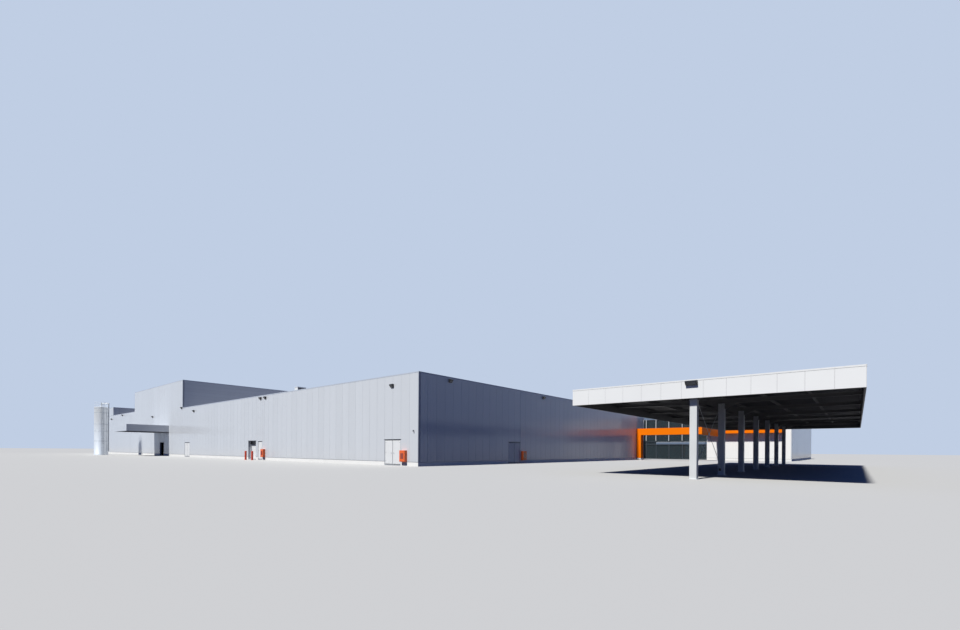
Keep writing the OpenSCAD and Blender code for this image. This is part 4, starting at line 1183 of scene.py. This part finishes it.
# %% [markdown]
# ## Doors
# The hinged leaves are flat steel doors. What tells them from a plain board is small: a pressed
# field, a kick plate, strap hinges, and a lever on each side. All of it rides on the leaf's own body
# and keeps away from the hinge edge, so that an open leaf clears the wall. Places on a leaf are
# counted from its hinge, so that one description serves left and right leaves.

# %% Places on a leaf
class Leaf:
    """A hinged leaf. hinge_low says that the hinge is at the low end of the leaf's width."""

    def __init__(self, body, side, hinge_low):
        low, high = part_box(body + "_leaf")
        self.across, self.up, self.out = directions(side)
        self.corner = face_rows(low, high, side)[0][0]
        n = 0 if side == "-y" else 1
        self.width, self.thick = high[n] - low[n], high[1 - n] - low[1 - n]
        self.height = high.z - low.z
        self.hinge_low = hinge_low

    def spot(self, along, z, proud=0.0):
        """A place on the leaf's face, along from the hinge and z from the foot."""
        along = along if self.hinge_low else self.width - along
        return self.corner + self.across * along + self.out * proud + self.up * z

    def board(self, work, along, z, proud, chamfer):
        """Adds a plate on the face. along and z are (start, end)."""
        ends = self.spot(along[0], z[0]), self.spot(along[1], z[1], proud)
        plate(work, [min(v) for v in zip(*ends)], [max(v) for v in zip(*ends)], chamfer)


def bar(work, start, end, radius, sides=12):
    """Adds a round bar."""
    run = end - start
    place = Matrix.Translation((start + end) / 2) @ run.to_track_quat("Z", "Y").to_matrix().to_4x4()
    bmesh.ops.create_cone(work, cap_ends=True, segments=sides, radius1=radius,
                          radius2=radius, depth=run.length, matrix=place)


# %% Fields and kick plates
FIELD_IN = 7 * MM
FIELD_PROUD = 0.5 * MM
KICK = (3 * MM, 24 * MM)
KICK_GAP = 3 * MM


def press_leaf(leaf, body, material):
    """The pressed field and the kick plate of a leaf."""
    pressed = bmesh.new()
    along = (FIELD_IN, leaf.width - FIELD_IN)
    field_z = (KICK[1] + KICK_GAP, leaf.height - FIELD_IN)
    leaf.board(pressed, along, field_z, FIELD_PROUD, chamfer=0.4 * MM)
    leaf.board(pressed, along, KICK, FIELD_PROUD, chamfer=0.2 * MM)
    keep(pressed, body + "_field", material, body)


# %% Hinges and levers
HINGES_Z = (28 * MM, 110 * MM, 205 * MM)
HINGE_ALONG = (5.5 * MM, 20 * MM)
HINGE_H = 3 * MM
HINGE_PROUD = 0.9 * MM
LEVER_Z = 105 * MM
LEVER_IN = 13 * MM
LEVER_OUT = 3.4 * MM
LEVER_LENGTH = 13 * MM
LEVER_R = 0.8 * MM
ROSE_HALF = 2 * MM
ROSE_DOWN, ROSE_UP = 11 * MM, 5 * MM
ROSE_PROUD = 1.1 * MM


def fit_leaf(leaf, body):
    """The levers on both sides of a leaf, and its strap hinges.

    The bars come first: after a bevel in the same mesh, their end faces begin at a corner that
    varies from run to run.
    """
    steel = bmesh.new()
    rose = leaf.width - LEVER_IN
    inner = -leaf.thick - LEVER_OUT
    for start, end, grip in ((0.0, LEVER_OUT, LEVER_OUT), (inner, -leaf.thick, inner)):
        bar(steel, leaf.spot(rose, LEVER_Z, start), leaf.spot(rose, LEVER_Z, end), LEVER_R)
        bar(steel, leaf.spot(rose, LEVER_Z, grip), leaf.spot(rose - LEVER_LENGTH, LEVER_Z, grip), LEVER_R)
    leaf.board(steel, (rose - ROSE_HALF, rose + ROSE_HALF), (LEVER_Z - ROSE_DOWN, LEVER_Z + ROSE_UP),
               ROSE_PROUD, chamfer=0.3 * MM)
    for z in HINGES_Z:
        leaf.board(steel, HINGE_ALONG, (z, z + HINGE_H), HINGE_PROUD, chamfer=0.2 * MM)
    keep(steel, body + "_fittings", STEEL, body, smooth=True)


# %% Dress the seven leaves
LEAVES = [("corner_door_left", "-y", True), ("corner_door_right", "-y", False),
          ("service_door", "-y", True), ("far_door_left", "-y", True), ("far_door_right", "-y", False),
          ("side_door_near", "+x", True), ("side_door_far", "+x", False)]
LEAF_FINISHES = {"-y": (DOOR_WHITE, "door_white"), "+x": (DOOR_GREY, "door_grey")}
for body, side, hinge_low in LEAVES:
    leaf = Leaf(body, side, hinge_low)
    material, slot = LEAF_FINISHES[side]
    press_leaf(leaf, body, material)
    fit_leaf(leaf, body)

# %% [markdown]
# ## Drip sheets over the doorways
# A small folded sheet over each doorway keeps the water off the door. It is painted dark, a
# painted shadow line over the door. It has the same profile on both walls, so it is written once,
# as steps outwards and upwards from the doorway's head.

# %% Drip sheets
DRIP_OVER = 7 * MM
DRIP_PROFILE = ((0, 0), (4 * MM, -0.8 * MM), (4 * MM, 0.4 * MM), (0, 1.6 * MM))
door_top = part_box("door_heads")[1].z
drips = bmesh.new()
for low, high in solids("door_lintels"):
    if low.z < door_top + MM:
        side = "-y" if longer_in_x(low, high) else "+x"
        across, up, out = directions(side)
        corner, wide, _ = face_rows(low, high, side)[0]
        start = corner - across * DRIP_OVER
        profile(drips, [start + out * proud + up * z for proud, z in DRIP_PROFILE],
                wide + across * 2 * DRIP_OVER)
# The drip sheets are painted dark, a painted shadow line over each door.
keep(drips, "door_drips", PAINTED_SHADE_SHEET)

# %% [markdown]
# ## Sectional goods door
# The recessed door rolls up in five sections. The sections are panels laid level with a groove
# between them. A dark plate over the top is painted shade, the lintel's shadow on the door.

# %% Sections and the painted shade over them
SECTIONS = 5
GOODS_LEAF_T = 5 * MM
JAMB = 5 * MM
FOOT_GAP = 0.5 * MM
SECTION_PROUD = 1.2 * MM
# The plate at the door's head is painted shade: it stands for the lintel's shadow.
HEAD_SHADE_H = 46 * MM
HEAD_SHADE_OUT = (19 * MM, 1.4 * MM)
HEAD_SHADE_GAP = 0.3 * MM
goods_low, goods_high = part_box("goods_door")
leaf_low = Vector((goods_low.x + JAMB, goods_high.y - GOODS_LEAF_T, goods_low.z + FOOT_GAP))
leaf_high = Vector((goods_high.x - JAMB, goods_high.y, goods_high.z - JAMB))
section_h = (leaf_high.z - leaf_low.z) / SECTIONS
lay("goods_door_sections", face_rows(leaf_low, leaf_high, "-y", None, section_h, leaf_low, True),
    DOOR_WHITE, SECTION_PROUD, groove=0.04, slope=0.02)
# Painted shade: a dark plate where the lintel's shadow falls on the door.
case = bmesh.new()
plate(case, (leaf_low.x + HEAD_SHADE_GAP, leaf_low.y - HEAD_SHADE_OUT[0], leaf_high.z - HEAD_SHADE_H),
      (leaf_high.x - HEAD_SHADE_GAP, leaf_low.y - HEAD_SHADE_OUT[1], leaf_high.z - HEAD_SHADE_GAP),
      chamfer=1.5 * MM)
keep(case, "goods_door_case", HOUSING)

# %% [markdown]
# ## Cabinets
# Each red cabinet has a door, a dark window in it and a round latch. Door and window are boards
# laid on one another, each a little smaller than the one below.

# %% Cabinet doors, windows and latches
DOOR_EDGE = 5 * MM
CABINET_DOOR_T = 1.2 * MM
WINDOW_SIDE, WINDOW_END = 17 * MM, 26 * MM
WINDOW_T = 0.6 * MM
LATCH_IN, LATCH_OUT, LATCH_R = 9.5 * MM, 2.5 * MM, 2 * MM
door_rows, window_rows, latches = [], [], bmesh.new()
for low, high in solids("cabinets"):
    side = "-y" if longer_in_x(low, high) else "+x"
    across, up, out = directions(side)
    lift = out * CABINET_DOOR_T
    door_in = across * DOOR_EDGE + up * DOOR_EDGE
    window_in = across * WINDOW_SIDE + up * WINDOW_END
    door_rows += face_rows(low + door_in, high - door_in, side)
    window_rows += face_rows(low + window_in + lift, high - window_in + lift, side)
    corner, _, tall = face_rows(low, high, side)[0]
    latch = corner + tall / 2 + across * LATCH_IN + lift
    bar(latches, latch, latch + out * LATCH_OUT, LATCH_R)
lay_plain("cabinet_doors", door_rows, CABINET, CABINET_DOOR_T, 0.012)
lay_plain("cabinet_windows", window_rows, CABINET_DARK, WINDOW_T, 0.02)
keep(latches, "cabinet_latches", STEEL, smooth=True)

# %% [markdown]
# ## Bollards and wall camera
# A grout collar and a cap seam on each bollard, and a ring round the camera's mount, are round
# about an upright axis. Such parts are turned: a short outline of radius and height goes round,
# and the last ring is joined to the first, so that no seam is left open.

# %% Turning an outline
def turned(work, centre, outline, steps=24):
    """Adds a closed outline of (radius, height), turned round the upright axis through centre."""
    rings = []
    for i in range(steps):
        angle = 2 * math.pi * i / steps
        rings.append([work.verts.new((centre[0] + r * math.cos(angle),
                                      centre[1] + r * math.sin(angle), h)) for r, h in outline])
    for i, ring in enumerate(rings):
        last = rings[i - 1]
        for j in range(len(outline)):
            work.faces.new((last[j - 1], ring[j - 1], ring[j], last[j]))


def ring_at(shape, radius, height):
    """The outline of a ring: shape in millimetres, counted from a radius and a height."""
    return [(radius + out * MM, height + up * MM) for out, up in shape]


print("a ring 3 wide:", ring_at([(0, 0), (3, 0)], 0, 0))

# %% Collars and the camera's ring
COLLAR = ((0, 0), (3, 0), (3, 1.5), (1, 3), (0, 3))
CAP_SEAM = ((-0.3, -1), (0.5, -1), (0.5, 0), (-0.3, 0))
MOUNT_RING = ((4.6, 0), (5.6, 0), (5.6, 1.2), (4.6, 1.6))
MOUNT_BACK, MOUNT_DOWN = 5 * MM, 8 * MM
collars = bmesh.new()
for low, high in solids("bollards"):
    centre, r = (low + high) / 2, (high.x - low.x) / 2
    turned(collars, centre, ring_at(COLLAR, r, 0))
    turned(collars, centre, ring_at(CAP_SEAM, r, high.z - r / 2))
keep(collars, "bollard_collars", BOLLARD, smooth=True)
camera_low, camera_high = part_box("cctv_camera")
mount = Vector(((camera_low.x + camera_high.x) / 2, camera_low.y + MOUNT_BACK,
                camera_high.z - MOUNT_DOWN))
mount_ring = bmesh.new()
turned(mount_ring, mount, ring_at(MOUNT_RING, 0, mount.z))
keep(mount_ring, "camera_ring", STEEL, smooth=True)

# %% [markdown]
# ## Roof vent
# Air leaves the vent through slats on three sides. The opening behind them is painted black and
# the slats dark, a painted shade on those sides. Each slat leans outwards, so its row starts away
# from the face and leads back to it.

# %% Openings and slats
SLAT_PITCH = 14 * MM
SLAT_TILT = 6 * MM
VENT_CAP = 8 * MM
VENT_LIP = 3 * MM
VENT_EDGE = 10 * MM
VENT_DEPTH = 150 * MM
OPENING_T, SLAT_T = 0.5 * MM, 0.8 * MM
vent_low, vent_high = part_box("roof_vent")
low = Vector((vent_low.x + VENT_LIP, vent_low.y + VENT_LIP, vent_high.z - VENT_DEPTH))
high = Vector((vent_high.x - VENT_LIP, vent_high.y - VENT_LIP, vent_high.z - VENT_CAP - VENT_EDGE / 2))
slat_rows, dark_rows = [], []
for side in ("+x", "-x", "+y"):
    out = directions(side)[2]
    inner = Vector((0, VENT_EDGE, 0)) if side[1] == "x" else Vector((VENT_EDGE, 0, 0))
    dark_rows += face_rows(low + inner, high - inner, side)
    for origin, wide, tall in face_rows(low + inner, high - inner, side, None, SLAT_PITCH, low):
        slat_rows.append((origin + out * SLAT_TILT, wide, tall - out * (SLAT_TILT - MM)))
# The openings are painted black, a painted shade for the vent's hollow.
lay_plain("vent_openings", dark_rows, VENT_HOLLOW_PAINTED_SHADE, OPENING_T)
# The slats are painted dark, a painted shade on the vent's sides.
lay_plain("vent_slats", slat_rows, PAINTED_SHADE_SHEET, SLAT_T)

# %% [markdown]
# ## Silo
# The silo is a tube made of courses. A flat band covers each seam. The tube is turned from its
# profile as a shell, and one tree sets a band round it at each seam. It stands for the plain tube
# of the solid model and keeps its size: the bands reach the same circle.

# %% The tube
SILO_WALL = 5 * MM
BAND_PROUD = 0.6 * MM
BAND_W = 6 * MM
SILO_STEPS = 96
FOOT_RIM_H, TOP_RIM_H = 9 * MM, 7 * MM
silo_low, silo_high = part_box("silo_shell")
silo_centre = (silo_low + silo_high) / 2
silo_r = (silo_high.x - silo_low.x) / 2
inside_r, tube_r = silo_r - SILO_WALL, silo_r - BAND_PROUD
silo = bmesh.new()
turned(silo, silo_centre, [
    (inside_r, silo_low.z), (silo_r, silo_low.z), (silo_r, silo_low.z + FOOT_RIM_H),
    (tube_r, silo_low.z + FOOT_RIM_H + MM), (tube_r, silo_high.z - TOP_RIM_H - MM),
    (silo_r, silo_high.z - TOP_RIM_H), (silo_r, silo_high.z), (inside_r, silo_high.z)], SILO_STEPS)
tube = keep(silo, "silo_tube", SILO, smooth=True)
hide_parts("silo_shell")

# %% Bands on the seams
SEAMS = [280 * MM, 480 * MM, 620 * MM, 850 * MM, 930 * MM]
band_tree, tree, given = geometry_tree("Bands round a tube", {
    "Radius": (FLOAT, 0.1), "Width": (FLOAT, 0.006), "Thickness": (FLOAT, 0.0006)})
ring_r = tree.math("SUBTRACT", given["Radius"], tree.math("MULTIPLY", given["Thickness"], 0.5))
ring = tree.add("GeometryNodeCurvePrimitiveCircle", {"Resolution": SILO_STEPS, "Radius": ring_r})
strap = tree.add("GeometryNodeCurvePrimitiveQuadrilateral", {
    "Width": given["Thickness"], "Height": given["Width"]})
hoop = tree.add("GeometryNodeCurveToMesh", {
    "Curve": ring.outputs[0], "Profile Curve": strap.outputs[0]})
hoops = tree.add("GeometryNodeInstanceOnPoints", {
    "Points": given["Geometry"], "Instance": hoop.outputs[0]})
end_tree(tree, given, hoops.outputs[0])
heights = bpy.data.meshes.new("seam_heights")
heights.from_pydata([(silo_centre.x, silo_centre.y, z) for z in SEAMS], [], [])
grow("silo_bands", heights, band_tree, {
    "Radius": silo_r, "Width": BAND_W, "Thickness": BAND_PROUD, "Material": SILO_BAND})

# %% [markdown]
# ## Entrance
# The frames and their fins come from the solid model. The band between the storeys is made of
# panels like the walls, under a pale drip line that catches the light.

# %% Band panels and their top line
PALE_H = 3 * MM
PALE_PROUD = 1.4 * MM
band_low, band_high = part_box("entrance_band")
line_low = Vector((band_low.x, band_low.y, band_high.z - PALE_H))
lay("band_panels", face_rows(band_low, band_high - Vector((0, 0, PALE_H)), "-y", FRONT_MODULE),
    BAND)
lay("band_line", face_rows(line_low, band_high, "-y", 2 * FRONT_MODULE), FASCIA,
    PALE_PROUD, groove=0.004, slope=0.0)

# %% [markdown]
# ## Last setting
# The dressed building must not be bigger than the solid model. The picture is shown with plain
# colours, so that a colour looks as it is written.

bpy.context.scene.view_settings.view_transform = "Standard"
